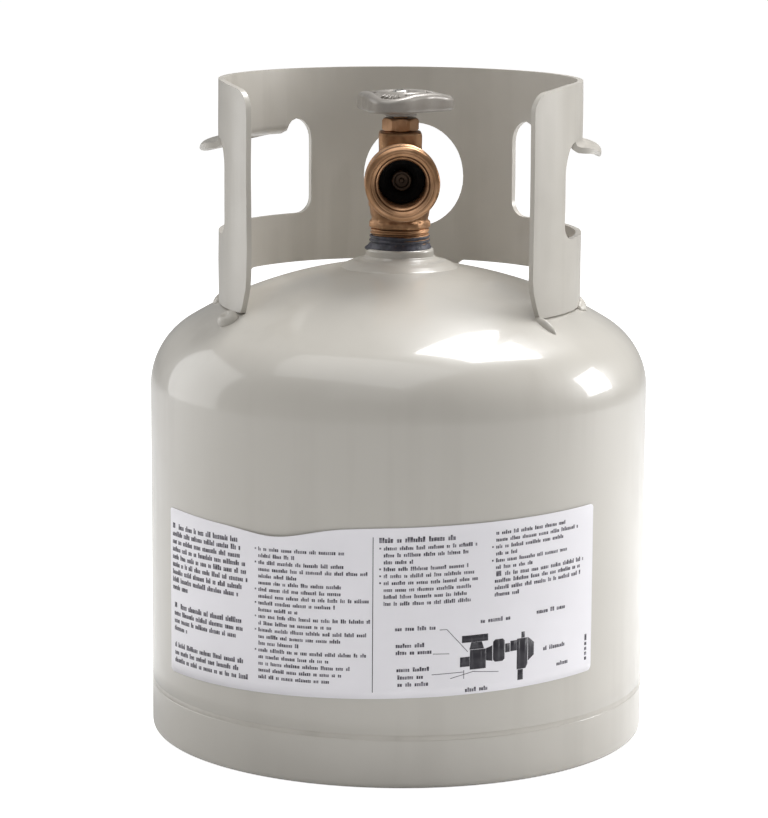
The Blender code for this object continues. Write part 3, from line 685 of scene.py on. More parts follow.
@dataclass(frozen=True)
class Finish:
    """What every finish has: a name, a colour, a second colour, and its gloss.

    A finish that has no rule of its own is a lightly mottled plain surface.
    """

    name: str
    base: Colour
    shade: Colour
    roughness: float = 0.4
    metallic: float = 0.0
    coat: float = 0.0
    coat_roughness: float = 0.1
    specular: float = 0.5
    patch_scale: float = 40.0
    patch_amount: float = 0.5
    grain_scale: float = 900.0
    grain_strength: float = 0.2
    grain_depth: float = 0.05

    def colour(self, graph: Graph) -> Socket:
        """Base colour that drifts a little towards the second colour.

        Args:
            graph: the material's graph.

        Returns:
            The colour socket.
        """
        patches = use(graph, EFFECTS.mottle(), scale=self.patch_scale).outputs[0]
        amount = graph.spread(patches, 0.0, 1.0, 0.0, self.patch_amount)
        return graph.mix(amount, opaque(self.base), opaque(self.shade))

    def gloss(self, graph: Graph) -> Socket:
        """Roughness that varies by an eighth either way.

        Args:
            graph: the material's graph.

        Returns:
            The roughness socket.
        """
        patches = use(graph, EFFECTS.mottle(), scale=self.patch_scale * GLOSS_PATCH).outputs[0]
        low, high = self.roughness * (1.0 - GLOSS_DRIFT), self.roughness * (1.0 + GLOSS_DRIFT)
        return graph.spread(patches, 0.0, 1.0, low, high)

    def build(self) -> bpy.types.Material:
        """Make the material, or return it if it is already made.

        Returns:
            The material.
        """
        if self.name in bpy.data.materials and bpy.data.materials[self.name].get("finish"):
            return bpy.data.materials[self.name]
        material = bpy.data.materials.new(self.name)
        material["finish"] = True
        material.use_nodes = True
        graph = Graph(material.node_tree)
        shader = material.node_tree.nodes["Principled BSDF"]
        shader.inputs["Metallic"].default_value = self.metallic
        shader.inputs["Coat Weight"].default_value = self.coat
        shader.inputs["Coat Roughness"].default_value = self.coat_roughness
        shader.inputs["Specular IOR Level"].default_value = self.specular
        links = material.node_tree.links
        links.new(self.colour(graph), shader.inputs["Base Color"])
        links.new(self.gloss(graph), shader.inputs["Roughness"])
        values = {"scale": self.grain_scale, "strength": self.grain_strength, "depth": self.grain_depth * MM}
        grain = use(graph, EFFECTS.relief(), **values)
        links.new(grain.outputs["Normal"], shader.inputs["Normal"])
        return material


@dataclass(frozen=True)
class PaintFinish(Finish):
    """Powder coat with faint streaks down it and dust near the foot."""

    streak_amount: float = 0.3
    dust: Colour = (0.30, 0.28, 0.25)
    dust_top: float = 40.0

    def colour(self, graph: Graph) -> Socket:
        """Base colour with streaks and a little dust low down.

        Args:
            graph: the material's graph.

        Returns:
            The colour socket.
        """
        patches = use(graph, EFFECTS.mottle(), scale=self.patch_scale).outputs[0]
        lines = use(graph, EFFECTS.streaks(), scale=70.0, stretch=0.05).outputs[0]
        both = graph.add("ShaderNodeMath", {0: patches, 1: lines}, operation="MULTIPLY").outputs[0]
        amount = graph.spread(both, 0.1, 0.8, 0.0, self.streak_amount)
        painted = graph.mix(amount, opaque(self.base), opaque(self.shade))
        height = graph.add(
            "ShaderNodeSeparateXYZ", {0: graph.add("ShaderNodeTexCoord").outputs["Object"]},
        ).outputs[2]
        low = graph.spread(height, 0.0, self.dust_top * MM, 0.35, 0.0)
        dusty = graph.add("ShaderNodeMath", {0: low, 1: patches}, operation="MULTIPLY").outputs[0]
        return graph.mix(dusty, painted, opaque(self.dust))


@dataclass(frozen=True)
class BrassFinish(Finish):
    """Forged brass: tarnish in patches and pits, and a painted highlight along sharp edges."""

    # Colour and strength of the painted highlight on sharp edges.
    edge_highlight_colour: Colour = (0.80, 0.52, 0.30)
    pit_scale: float = 700.0
    pit_share: float = 0.16
    edge_highlight_amount: float = 0.55

    def colour(self, graph: Graph) -> Socket:
        """Tarnished base with dark pits and a painted highlight on sharp edges.

        Args:
            graph: the material's graph.

        Returns:
            The colour socket.
        """
        patches = use(graph, EFFECTS.mottle(), scale=self.patch_scale).outputs[0]
        amount = graph.spread(patches, 0.1, 0.9, 0.0, self.patch_amount)
        aged = graph.mix(amount, opaque(self.base), opaque(self.shade))
        pits = use(graph, EFFECTS.specks(), scale=self.pit_scale, share=self.pit_share).outputs[0]
        dark = graph.spread(pits, 0.0, 1.0, 0.0, 0.5)
        pitted = graph.mix(dark, aged, opaque(self.shade))
        # Painted highlight: sharp edges are mixed towards a light colour, as if they caught the light.
        edges = use(graph, EFFECTS.edge_highlight()).outputs[0]
        edge_highlight_share = graph.spread(edges, 0.0, 1.0, 0.0, self.edge_highlight_amount)
        return graph.mix(edge_highlight_share, pitted, opaque(self.edge_highlight_colour))


@dataclass(frozen=True)
class InkFinish(Finish):
    """Small print that has soaked unevenly into its paper."""

    def colour(self, graph: Graph) -> Socket:
        """Ink that thins out towards the paper's colour.

        Args:
            graph: the material's graph.

        Returns:
            The colour socket.
        """
        thin = use(graph, EFFECTS.mottle(), scale=self.patch_scale).outputs[0]
        amount = graph.spread(thin, 0.2, 1.0, 0.0, self.patch_amount)
        return graph.mix(amount, opaque(self.base), opaque(self.shade))


PAINT = PaintFinish(
    "glossy_grey_paint", (
        0.505, 0.482, 0.438,
    ), (0.43, 0.405, 0.365), roughness=0.33, coat=0.6, coat_roughness=0.07,
    patch_scale=14.0, grain_scale=420.0, grain_strength=0.35, grain_depth=0.02,
)
COLLAR_PAINT = PaintFinish(
    "collar_grey_paint", (
        0.475, 0.45, 0.405,
    ), (0.36, 0.335, 0.295), roughness=0.36, coat=0.25, coat_roughness=0.2,
    patch_scale=22.0, streak_amount=0.32, grain_scale=420.0, grain_strength=0.4, grain_depth=0.03,
)
WELD_PAINT = PaintFinish(
    "weld_grey_paint", (
        0.49, 0.465, 0.42,
    ), (0.36, 0.335, 0.30), roughness=0.38, coat=0.25, coat_roughness=0.2,
    patch_scale=60.0, grain_scale=700.0, grain_strength=0.6, grain_depth=0.12,
)
STEEL = Finish(
    "bare_mild_steel", (0.42, 0.41, 0.40), (0.27, 0.24, 0.21), roughness=0.45, metallic=0.9,
    patch_scale=26.0, patch_amount=0.7, grain_scale=600.0, grain_strength=0.4,
)
# In the brass finishes below, the light edge colour and its amount make the painted highlight on sharp edges.
BRASS = BrassFinish(
    "forged_brass", (
        0.46, 0.265, 0.145,
    ), (0.13, 0.065, 0.028), roughness=0.47, metallic=0.88, edge_highlight_colour=(0.66, 0.42, 0.25),
    patch_scale=120.0, patch_amount=0.7, edge_highlight_amount=0.45,
    grain_scale=900.0, grain_strength=0.7, grain_depth=0.12,
)
CUT_BRASS = BrassFinish(
    "machined_brass", (
        0.50, 0.295, 0.17,
    ), (0.20, 0.10, 0.045), roughness=0.36, metallic=0.95, edge_highlight_colour=(0.66, 0.43, 0.27),
    patch_scale=90.0, patch_amount=0.6, pit_share=0.1, edge_highlight_amount=0.35,
    grain_scale=1100.0, grain_strength=0.4,
)
# Brass painted near black: painted shade for the poppets deep in their bores, with a painted highlight on
# their rims.
BORE_SHADED_BRASS = BrassFinish(
    "brass_painted_bore_shade", (
        0.060, 0.036, 0.022,
    ), (0.025, 0.015, 0.010), roughness=0.5, metallic=0.7, edge_highlight_colour=(0.26, 0.17, 0.11),
    patch_scale=150.0, patch_amount=0.7, edge_highlight_amount=0.5, grain_scale=900.0, grain_strength=0.4,
)
SEALANT = Finish(
    "cured_sealant", (0.020, 0.022, 0.034), (0.07, 0.07, 0.10), roughness=0.5, coat=0.1,
    patch_scale=260.0, patch_amount=0.6, grain_scale=1300.0, grain_strength=0.8, grain_depth=0.15,
)
CAST = Finish(
    "satin_cast_grey", (0.30, 0.278, 0.252), (0.20, 0.183, 0.165), roughness=0.40, metallic=0.25, coat=0.25,
    patch_scale=110.0, patch_amount=0.5, grain_scale=1400.0, grain_strength=0.45, grain_depth=0.06,
)
ZINC = Finish(
    "bright_zinc", (0.66, 0.65, 0.62), (0.48, 0.46, 0.42), roughness=0.28, metallic=0.95,
    patch_scale=180.0, patch_amount=0.5, grain_scale=1800.0, grain_strength=0.2,
)
RUBBER = Finish(
    "black_seal_rubber", (0.004, 0.0035, 0.0035), (0.010, 0.008, 0.007), roughness=0.7, specular=0.15,
    patch_scale=200.0, grain_scale=1600.0, grain_strength=0.4,
)
NYLON = Finish(
    "natural_nylon", (0.74, 0.71, 0.64), (0.62, 0.58, 0.50), roughness=0.45,
    patch_scale=120.0, grain_scale=1200.0, grain_strength=0.2,
)
ACETAL = Finish(
    "black_acetal", (0.018, 0.018, 0.019), (0.035, 0.034, 0.033), roughness=0.42,
    patch_scale=120.0, grain_scale=1400.0, grain_strength=0.25,
)
PAPER = Finish(
    "satin_label_film", (0.86, 0.845, 0.885), (0.79, 0.775, 0.81), roughness=0.42, coat=0.12,
    patch_scale=30.0, patch_amount=0.5, grain_scale=500.0, grain_strength=0.15,
)
INK = InkFinish(
    "dark_label_ink", (0.045, 0.04, 0.055), (0.33, 0.32, 0.36), roughness=0.5,
    patch_scale=650.0, patch_amount=0.75, grain_strength=0.05,
)
SOLID_INK = InkFinish(
    "solid_label_ink", (0.022, 0.020, 0.028), (0.05, 0.048, 0.058), roughness=0.48,
    patch_scale=200.0, patch_amount=0.5, grain_strength=0.05,
)

SLOT_FINISHES: dict[Slot, Finish] = {
    Slot.GREY_PAINT: PAINT,
    Slot.BARE_STEEL: STEEL,
    Slot.BRASS: CUT_BRASS,
    Slot.SEALANT: SEALANT,
    Slot.CAST_GREY: CAST,
    Slot.ZINC_STEEL: ZINC,
    Slot.BLACK_RUBBER: RUBBER,
    Slot.WHITE_NYLON: NYLON,
    Slot.BLACK_PLASTIC: ACETAL,
    Slot.LABEL_PAPER: PAPER,
}


def dress(obj: Piece, finish: Finish) -> None:
    """Give a piece one finish."""
    obj.data.materials.clear()
    obj.data.materials.append(finish.build())


def hand_over(obj: Piece, finish: Finish, slot: Slot, body: Body, *nodes: str) -> Piece:
    """Dress a piece, put it on its body and report it.

    Args:
        obj: the piece, in place.
        finish: its finish.
        slot: the record's slot that the finish stands for; not used.
        body: the body that it rides on.
        nodes: CAD nodes that it stands for.

    Returns:
        The same piece.
    """
    dress(obj, finish)
    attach(obj, body.value)
    if nodes:
        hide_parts(*nodes)
    LOG.info("%s on %s, %s", obj.name, body.value, finish.name)
    return obj


# Pressure vessel


@dataclass
class Vessel:
    """Drawn shell, bottom head, foot ring, and the coupling welded into the crown."""

    wall_r: float = 113.0
    wall_t: float = 2.4
    wall_low_z: float = 24.0
    knuckle_r: float = 33.8
    crown_r: float = 186.8
    shoulder_z: float = 158.5
    ring_top_z: float = 21.8
    flange_r: float = 106.5
    edge_r: float = 3.0
    bottom_z: float = 8.0
    bottom_crown_r: float = 330.0
    bottom_knuckle_r: float = 20.0
    skirt_top_z: float = 56.0
    coupling_r: float = 15.5
    coupling_bore_r: float = 12.3
    coupling_low_z: float = 199.0
    coupling_top_z: float = 221.0

    def crown_z(self, radius: float) -> float:
        """Height of the crown's outer face at a radius.

        Args:
            radius: distance from the axis in millimetres.

        Returns:
            The height in millimetres.
        """
        reach = self.wall_r - self.knuckle_r
        if radius > reach:
            meet = reach * self.crown_r / (self.crown_r - self.knuckle_r)
            if radius > meet:
                return self.shoulder_z + math.sqrt(max(0.0, self.knuckle_r**2 - (radius - reach) ** 2))
        centre = self.shoulder_z - math.sqrt((self.crown_r - self.knuckle_r) ** 2 - reach**2)
        return centre + math.sqrt(self.crown_r**2 - radius**2)

    def head(self, offset: float, knuckle_steps: int, crown_steps: int) -> list[tuple[float, float]]:
        """Outline of the top head from near the axis out and down to the wall, moved inwards by an offset.

        Args:
            offset: how far inwards, in millimetres.
            knuckle_steps: straight pieces in the knuckle.
            crown_steps: straight pieces in the crown.

        Returns:
            The points (r, z).
        """
        reach = self.wall_r - self.knuckle_r
        centre = self.shoulder_z - math.sqrt((self.crown_r - self.knuckle_r) ** 2 - reach**2)
        meet = math.degrees(math.atan2(self.shoulder_z - centre, reach))
        top = math.degrees(math.acos((self.coupling_r + 0.1) / (self.crown_r - offset)))
        crown = arc((0.0, centre), self.crown_r - offset, top, meet, crown_steps)
        knuckle = arc((reach, self.shoulder_z), self.knuckle_r - offset, meet, 0.0, knuckle_steps)
        return crown + knuckle[1:]

    def build_shell(self) -> None:
        """Crown, shoulder and wall in one drawn sheet, with the slight waves of a deep draw."""
        wall_steps = 22
        drop = self.shoulder_z - self.wall_low_z
        outer = self.head(0.0, 18, 20)
        outer += [(self.wall_r, self.shoulder_z - drop * (i + 1) / wall_steps) for i in range(wall_steps)]
        inner = self.head(self.wall_t, 10, 12)
        inner += [(self.wall_r - self.wall_t, self.wall_low_z)]
        shell = lathe("tank_shell", outer + inner[::-1], 180)
        rippled(shell, 0.5, 70.0)
        hand_over(even_normals(shell), PAINT, Slot.GREY_PAINT, Body.CYLINDER, "upper_shell")

    def build_bottom_head(self) -> None:
        """Shallow dished head inside the foot ring."""
        skirt_r = self.wall_r - self.wall_t - 0.3
        reach = skirt_r - self.bottom_knuckle_r
        crown_top = self.bottom_z + self.bottom_crown_r
        knuckle_z = crown_top - math.sqrt((self.bottom_crown_r - self.bottom_knuckle_r) ** 2 - reach**2)
        meet = -math.degrees(math.atan2(crown_top - knuckle_z, reach))

        def face(offset: float) -> list[tuple[float, float]]:
            """One face of the dish, from the axis out.

            Args:
                offset: how far from the lower face, in millimetres.

            Returns:
                The points (r, z).
            """
            crown = arc((0.0, crown_top), self.bottom_crown_r - offset, -90.0, meet, 14)
            crown[0] = (0.0, crown[0][1])
            return crown + arc((reach, knuckle_z), self.bottom_knuckle_r - offset, meet, 0.0, 8)[1:]

        lower, upper = face(0.0), face(self.wall_t)
        skirt = [(lower[-1][0], self.skirt_top_z), (upper[-1][0], self.skirt_top_z)]
        head = lathe("bottom_dish", lower + skirt + upper[::-1], 120)
        hand_over(even_normals(head), PAINT, Slot.BARE_STEEL, Body.CYLINDER, "bottom_head")

    def build_foot(self) -> None:
        """Foot ring with a rounded lower edge, and the faint seam above it."""
        wall = self.wall_r
        inner = wall - self.wall_t
        outline = [(wall, self.ring_top_z, 0.5), (wall, 0.0, self.edge_r), (self.flange_r, 0.0, 0.8)]
        outline += [
            (self.flange_r, self.wall_t, 0.8), (inner, self.wall_t, 2.0), (inner, self.ring_top_z, 0.5),
        ]
        ring = lathe("foot_band", outline, 180, 6)
        hand_over(even_normals(ring), PAINT, Slot.GREY_PAINT, Body.CYLINDER, "foot_ring")
        low, high = self.ring_top_z - 0.15, self.wall_low_z + 0.15
        seam = [(wall - 0.12, high, 0.1), (wall - 0.02, (low + high) / 2, 0.8), (wall - 0.12, low, 0.1)]
        seam += [(inner + 0.3, low), (inner + 0.3, high)]
        bead = lathe("foot_seam", seam, 180)
        rippled(bead, 0.12, 4.0)
        hand_over(bead, WELD_PAINT, Slot.GREY_PAINT, Body.CYLINDER, "foot_ring_weld")

    def build_coupling(self) -> None:
        """Coupling with a chamfered top, and the stepped fillet weld round it."""
        outline = [(self.coupling_r, self.coupling_top_z, 1.6), (self.coupling_r, self.coupling_low_z)]
        outline += [
            (self.coupling_bore_r, self.coupling_low_z), (self.coupling_bore_r, self.coupling_top_z, 0.4),
        ]
        spud = lathe("valve_coupling", outline, 96, 5)
        hand_over(even_normals(spud), PAINT, Slot.GREY_PAINT, Body.CYLINDER, "coupling")
        low = [(r, self.crown_z(r) - 0.6) for r in (27.2, 21.0, self.coupling_r - 0.1)]
        top = [
            (self.coupling_r - 0.1, 218.0, 0.4), (16.5, 216.6, 1.5), (18.6, 215.7, 2.0), (21.2, 215.3, 2.5),
        ]
        top += [(23.8, 214.3, 2.5), (26.6, 212.75, 3.0)]
        weld = lathe("coupling_fillet", low + top, 120, 5)
        rippled(weld, 0.55, 9.0)
        hand_over(even_normals(weld), PAINT, Slot.GREY_PAINT, Body.CYLINDER, "coupling_weld")

    def build(self) -> None:
        """Make every piece of the vessel."""
        self.build_shell()
        self.build_bottom_head()
        self.build_foot()
        self.build_coupling()


# Guard collar


@dataclass
class GuardCollar:
    """Bent plate round the valve, with two hand slots that have rolled lips, a round hole and wide feet.

    A turn is an angle from the collar's middle plane, in degrees. Both halves are alike.
    """

    vessel: Vessel
    radius: float = 82.0
    thickness: float = 2.6
    top_z: float = 297.3
    turned_by: float = -6.5
    opening_half: float = 50.2
    slot_front: float = 67.4
    slot_back: float = 143.3
    slot_low_z: float = 229.0
    slot_corner: float = 7.5
    slot_front_high_z: float = 258.0
    slot_back_drop: float = 10.0
    front_rise: float = 11.5
    back_rise: float = 9.0
    top_corner: float = 8.0
    top_fall: float = 3.0
    top_fall_length: float = 34.0
    foot_corner: float = 6.0
    lip_root_z: float = 271.6
    relief_z: float = 273.8
    relief_at: float = 137.0
    lip_from: float = 76.0
    lip_to: float = 133.0
    lip_bend_r: float = 2.4
    lip_run: float = 2.8
    lip_curl_r: float = 3.4
    lip_curl_angle: float = 150.0
    hole_r: float = 24.8
    hole_z: float = 246.0
    drain_z: float = 206.0
    foot_end: float = 112.0
    side_weld_from: float = 84.0
    bead_width: float = 2.9
    bead_height: float = 3.0
    foot_back_half: float = 14.0
    rows: int = 7
    lip_rows: int = 18

    @property
    def mm_per_degree(self) -> float:
        """Length along the plate of one degree."""
        return self.radius * math.radians(1.0)

    @property
    def lip_length(self) -> float:
        """Length of the lip's section, from its root through both bends to its edge."""
        curl = self.lip_curl_r * math.radians(self.lip_curl_angle)
        return self.lip_bend_r * math.pi / 2 + self.lip_run + curl

    @property
    def hole_turn(self) -> float:
        """Turn at which the round hole starts."""
        return 180.0 - self.hole_r / self.mm_per_degree

    def top(self, turn: float) -> float:
        """Top edge: a rounded corner at the opening and a gentle fall towards it.

        Args:
            turn: the column's turn.

        Returns:
            The height in millimetres.
        """
        along = (turn - self.opening_half) * self.mm_per_degree
        slope = self.top_fall * (1.0 - min(along / self.top_fall_length, 1.0)) ** 1.5
        return self.top_z - slope - self.top_corner * (1.0 - eased(along / self.top_corner))

    def foot(self, turn: float) -> float:
        """Lower edge: on the crown at the feet and raised between them.

        Args:
            turn: the column's turn.

        Returns:
            The height in millimetres.
        """
        rest = self.vessel.crown_z(self.radius - self.thickness) - 0.2
        corner = self.foot_corner / self.mm_per_degree
        inside = min((turn - self.foot_end) / corner, (180.0 - turn - self.foot_back_half) / corner)
        if inside <= 0.0:
            return rest
        return rest + (self.drain_z - rest) * eased(inside)

    def void(self, turn: float) -> tuple[float, float]:
        """Lower and upper edge of the slot or hole, or the heights where the plate is only divided.

        Args:
            turn: the column's turn.

        Returns:
            The lower and the upper height in millimetres.
        """
        corner = self.slot_corner
        front_low, front_high = self.slot_low_z + corner, self.slot_front_high_z
        back_high = self.relief_z - self.slot_back_drop
        if turn < self.slot_front:
            return front_low, front_high
        if turn > self.hole_turn:
            half = math.sqrt(max(0.0, self.hole_r**2 - ((180.0 - turn) * self.mm_per_degree) ** 2))
            return self.hole_z - half, self.hole_z + half
        if turn > self.slot_back:
            share = (turn - self.slot_back) / (self.hole_turn - self.slot_back)
            low = front_low + (self.hole_z - front_low) * share
            return low, back_high + (self.hole_z - back_high) * share
        from_front = (turn - self.slot_front) * self.mm_per_degree
        from_back = (self.slot_back - turn) * self.mm_per_degree
        low = self.slot_low_z + corner * (1.0 - eased(min(from_front, from_back) / corner))
        high = self.lip_root_z
        if turn < self.lip_from:
            high = front_high + (self.lip_root_z - front_high) * eased(from_front / self.front_rise)
        elif turn > self.relief_at:
            high = back_high + (self.relief_z - back_high) * eased(from_back / self.back_rise)
        elif turn > self.lip_to:
            share = (turn - self.lip_to) / (self.relief_at - self.lip_to)
            high += (self.relief_z - self.lip_root_z) * (0.5 - 0.5 * math.cos(math.pi * share))
        return low, high

    def lip_share(self, turn: float) -> float:
        """How much of the lip there is at a turn: 0 past its ends and 1 in the middle.

        Args:
            turn: the column's turn.

        Returns:
            The share of the lip's full length.
        """
        middle = (self.lip_from + self.lip_to) / 2
        half = (self.lip_to - self.lip_from) / 2
        return math.sqrt(max(0.0, 1.0 - min(1.0, abs(turn - middle) / half) ** 2.4))

    def lip_point(self, along: float) -> tuple[float, float]:
        """Point (radius, height) on the lip's upper face, at a length along its section.

        Args:
            along: length from the lip's root in millimetres.

        Returns:
            The radius and the height.
        """
        bend = self.lip_bend_r
        first = bend * math.pi / 2
        if along <= first:
            angle = along / bend
            return self.radius + bend * (1.0 - math.cos(angle)), self.lip_root_z - bend * math.sin(angle)
        out = min(along - first, self.lip_run)
        radius, height = self.radius + bend + out, self.lip_root_z - bend - 0.12 * out
        angle = max(0.0, along - first - self.lip_run) / self.lip_curl_r
        radius += self.lip_curl_r * math.sin(angle)
        height -= self.lip_curl_r * (1.0 - math.cos(angle))
        return radius, height

    def turns(self) -> list[float]:
        """Turns of the plate's columns, closer together where an edge runs steeply.

        Returns:
            The turns of one half, from the opening to the back.
        """
        per = self.mm_per_degree
        marks = {
            self.opening_half, self.slot_front, self.lip_from, self.lip_to, self.relief_at, self.slot_back,
        }
        marks |= {self.hole_turn, self.foot_end, 180.0 - self.foot_back_half, 180.0}
        steep = [
            (self.opening_half, 9.0), (self.slot_front, 11.5), (self.slot_back, -9.0),
            (self.lip_from, 12.0),
        ]
        steep += [
            (self.lip_to, -12.0), (self.hole_turn, 14.0), (self.foot_end, 6.0),
            (180.0 - self.foot_back_half, -6.0),
        ]
        values = set(marks)
        for start, length in steep:
            for k in range(1, 9):
                values.add(start + length / per * (1.0 - math.cos(math.pi / 2 * k / 8)))
        step = 1.6
        count = int((180.0 - self.opening_half) / step)
        spread = [self.opening_half + (180.0 - self.opening_half) * i / count for i in range(count)]
        values |= {turn for turn in spread if min(abs(turn - value) for value in values) > 0.7}
        ordered = sorted(values)
        kept = [ordered[0]]
        for turn in ordered[1:]:
            if turn - kept[-1] > 0.06 or turn in marks:
                if turn in marks and turn - kept[-1] <= 0.06 and kept[-1] not in marks:
                    kept.pop()
                kept.append(turn)
        return kept

    def spot(self, signed: float, radius: float, z: float) -> Vector:
        """Place on the plate, with the front edge's lower taper and the soft dents of a bent plate.

        Args:
            signed: turn, negative towards -X.
            radius: distance from the axis in millimetres.
            z: height in millimetres.

        Returns:
            The point in metres.
        """
        turn = abs(signed)
        foot = self.foot(self.opening_half)
        low = max(0.0, 1.0 - (z - foot) / 15.0)
        near = max(0.0, 1.0 - (turn - self.opening_half) * self.mm_per_degree / 14.0)
        moved = turn + 5.0 / self.mm_per_degree * low**1.4 * near
        point = polar(radius, self.turned_by + math.copysign(moved, signed), z)
        dent = 0.30 * waved(point, 34.0) + 0.14 * waved(point, 13.0)
        return polar(radius + dent, self.turned_by + math.copysign(moved, signed), z)

    def half_rows(self, turn: float) -> list[tuple[float, float]]:
        """Points (radius, height) down one column, from the top edge to the lip or slot and on to the foot.

        Args:
            turn: the column's turn.

        Returns:
            The points (radius, height).
        """
        low, high = self.void(turn)
        column = []
        for k in range(self.rows + 1):
            share = k / self.rows
            column.append((self.radius, self.top(turn) + (high - self.top(turn)) * share))
        for k in range(1, self.rows + 1):
            column.append((self.radius, high + (low - high) * k / self.rows))
        for k in range(1, self.rows + 1):
            column.append((self.radius, low + (self.foot(turn) - low) * k / self.rows))
        return column

    def build_plate(self) -> None:
        """The bent plate: a sheet in columns, left open at the slots and the hole, then made thick."""
        half = self.turns()
        signed = half + [360.0 - turn for turn in half[-2::-1]]
        bm = bmesh.new()
        columns, lips, sides = [], [], []
        for turn in signed:
            side = turn if turn <= 180.0 else turn - 360.0
            flat = abs(side)
            columns.append([bm.verts.new(self.spot(side, r, z)) for r, z in self.half_rows(flat)])
            share = self.lip_share(flat) if self.lip_from < flat < self.lip_to else 0.0
            length = self.lip_length * share
            lip = []
            for k in range(1, self.lip_rows + 1):
                r, z = self.lip_point(length * k / self.lip_rows)
                lip.append(bm.verts.new(self.spot(side, r, z)) if share > 0.0 else columns[-1][self.rows])
            lips.append(lip)
            sides.append(flat)
        for i in range(len(signed) - 1):
            first, second = columns[i], columns[i + 1]
            middle = (sides[i] + sides[i + 1]) / 2
            is_void = self.slot_front < middle < self.slot_back or middle > self.hole_turn
            for k in range(3 * self.rows):
                if is_void and self.rows <= k < 2 * self.rows:
                    continue
                self.add_face(bm, first[k], second[k], second[k + 1], first[k + 1])
            edge_a, edge_b = [first[self.rows]] + lips[i], [second[self.rows]] + lips[i + 1]
            if self.lip_from < middle < self.lip_to:
                for k in range(self.lip_rows):
                    self.add_face(bm, edge_a[k], edge_b[k], edge_b[k + 1], edge_a[k + 1])
        loose = [vert for vert in bm.verts if not vert.link_faces]
        bmesh.ops.delete(bm, geom=loose, context="VERTS")
        bmesh.ops.remove_doubles(bm, verts=bm.verts, dist=2e-6)
        self.point_outwards(bm)
        mesh = bpy.data.meshes.new("guard_collar")
        bm.to_mesh(mesh)
        bm.free()
        mesh.shade_smooth()
        plate = linked("guard_collar", mesh)
        thickened(plate, self.thickness)
        bevelled(plate, 0.95, 3, 50.0)
        hand_over(even_normals(plate), COLLAR_PAINT, Slot.GREY_PAINT, Body.CYLINDER, "collar")

    def add_face(self, bm: Surface, *corners: bmesh.types.BMVert) -> None:
        """Add a face, dropping corners that coincide.

        Args:
            bm: the plate's surface.
            corners: the face's corners, going round.
        """
        kept: list[bmesh.types.BMVert] = []
        for corner in corners:
            if all((corner.co - other.co).length > 2e-6 for other in kept):
                kept.append(corner)
        if len(kept) >= 3 and not bm.faces.get(kept):
            bm.faces.new(kept)

    def point_outwards(self, bm: Surface) -> None:
        """Turn the sheet's faces so that the plate's faces point away from the tank's axis.

        Args:
            bm: the plate's surface.
        """
        bmesh.ops.recalc_face_normals(bm, faces=bm.faces)
        total = 0.0
        for face in bm.faces:
            middle = face.calc_center_median()
            total += face.normal.dot(Vector((middle.x, middle.y, 0.0))) * face.calc_area()
        if total < 0.0:
            bmesh.ops.reverse_faces(bm, faces=bm.faces)

    def bead(self, name: str, start: float, end: float, width: float, height: float) -> Piece:
        """Rippled fillet bead outside the plate's foot.

        Args:
            name: the piece's name.
            start: first turn.
            end: last turn.
            width: how far it reaches out on the crown, in millimetres.
            height: how far it climbs the plate.

        Returns:
            The piece.
        """
        count = max(8, int(abs(end - start) * self.mm_per_degree / 0.55))
        rings = []
        for i in range(count + 1):
            share = i / count
            turn = start + (end - start) * share
            ends = max(0.12, math.sqrt(max(0.0, 1.0 - abs(2.0 * share - 1.0) ** 8)))
            ripple = 1.0 + 0.10 * math.sin(2 * math.pi * i / 4.5) + 0.12 * waved(
                Vector((turn, 0.0, height)) * MM, 3.0,
            )
            size = ends * ripple
            near = self.radius - 0.6
            far = self.radius + width * size
            section = [(near, self.vessel.crown_z(near) - 0.4), (far, self.vessel.crown_z(far) - 0.4)]
            root = self.vessel.crown_z(self.radius)
            for k in range(1, 6):
                angle = math.pi / 2 * k / 6
                reach = self.radius + width * size * math.cos(angle) ** 0.9
                section.append((reach, self.vessel.crown_z(reach) + (height * size) * math.sin(angle) ** 0.9))
            section.append((near, root + height * size))
            rings.append([polar(r, self.turned_by + turn, z) for r, z in section])
        obj = lofted(name, rings)
        even_normals(obj)
        return obj

    def nugget(
        self, name: str, side: Side, place: tuple[float, float], size: Sequence[float], dimple: float,
    ) -> Piece:
        """Weld nugget at a front foot.

        Args:
            name: the piece's name.
            side: which wing it holds.
            place: how far its middle is from the opening and from the plate's face, in millimetres.
            size: half sizes along the plate, across it and upwards, in millimetres.
            dimple: depth of the hollow in its crest, in millimetres.

        Returns:
            The piece.
        """
        turn = side.value * (self.opening_half + place[0] / self.mm_per_degree)
        radius = self.radius + place[1]
        height = self.vessel.crown_z(radius)
        out = polar(1.0, self.turned_by + turn, 0.0).normalized()
        forward = Vector((-out.y, out.x, 0.0)) * -side.value
        down = Vector((out.x, out.y, self.vessel.crown_z(radius + 1.0) - height)).normalized()
        normal = forward.cross(down)
        if normal.z < 0.0:
            normal.negate()
        centre = polar(radius, self.turned_by + turn, height)
        bm = bmesh.new()
        bmesh.ops.create_uvsphere(bm, u_segments=40, v_segments=24, radius=1.0)
        for vert in bm.verts:
            along, across, up = vert.co
            flat = math.hypot(along, across)
            rise = max(up, -0.35) * size[2] - dimple * math.exp(-((flat / 0.4) ** 2)) * (up > 0.0)
            spot = centre + (forward * along * size[0] + down * across * size[1] + normal * rise) * MM
            vert.co = spot + normal * 0.30 * waved(spot, 2.6) * MM
        return linked(name, closed_mesh(name, bm))

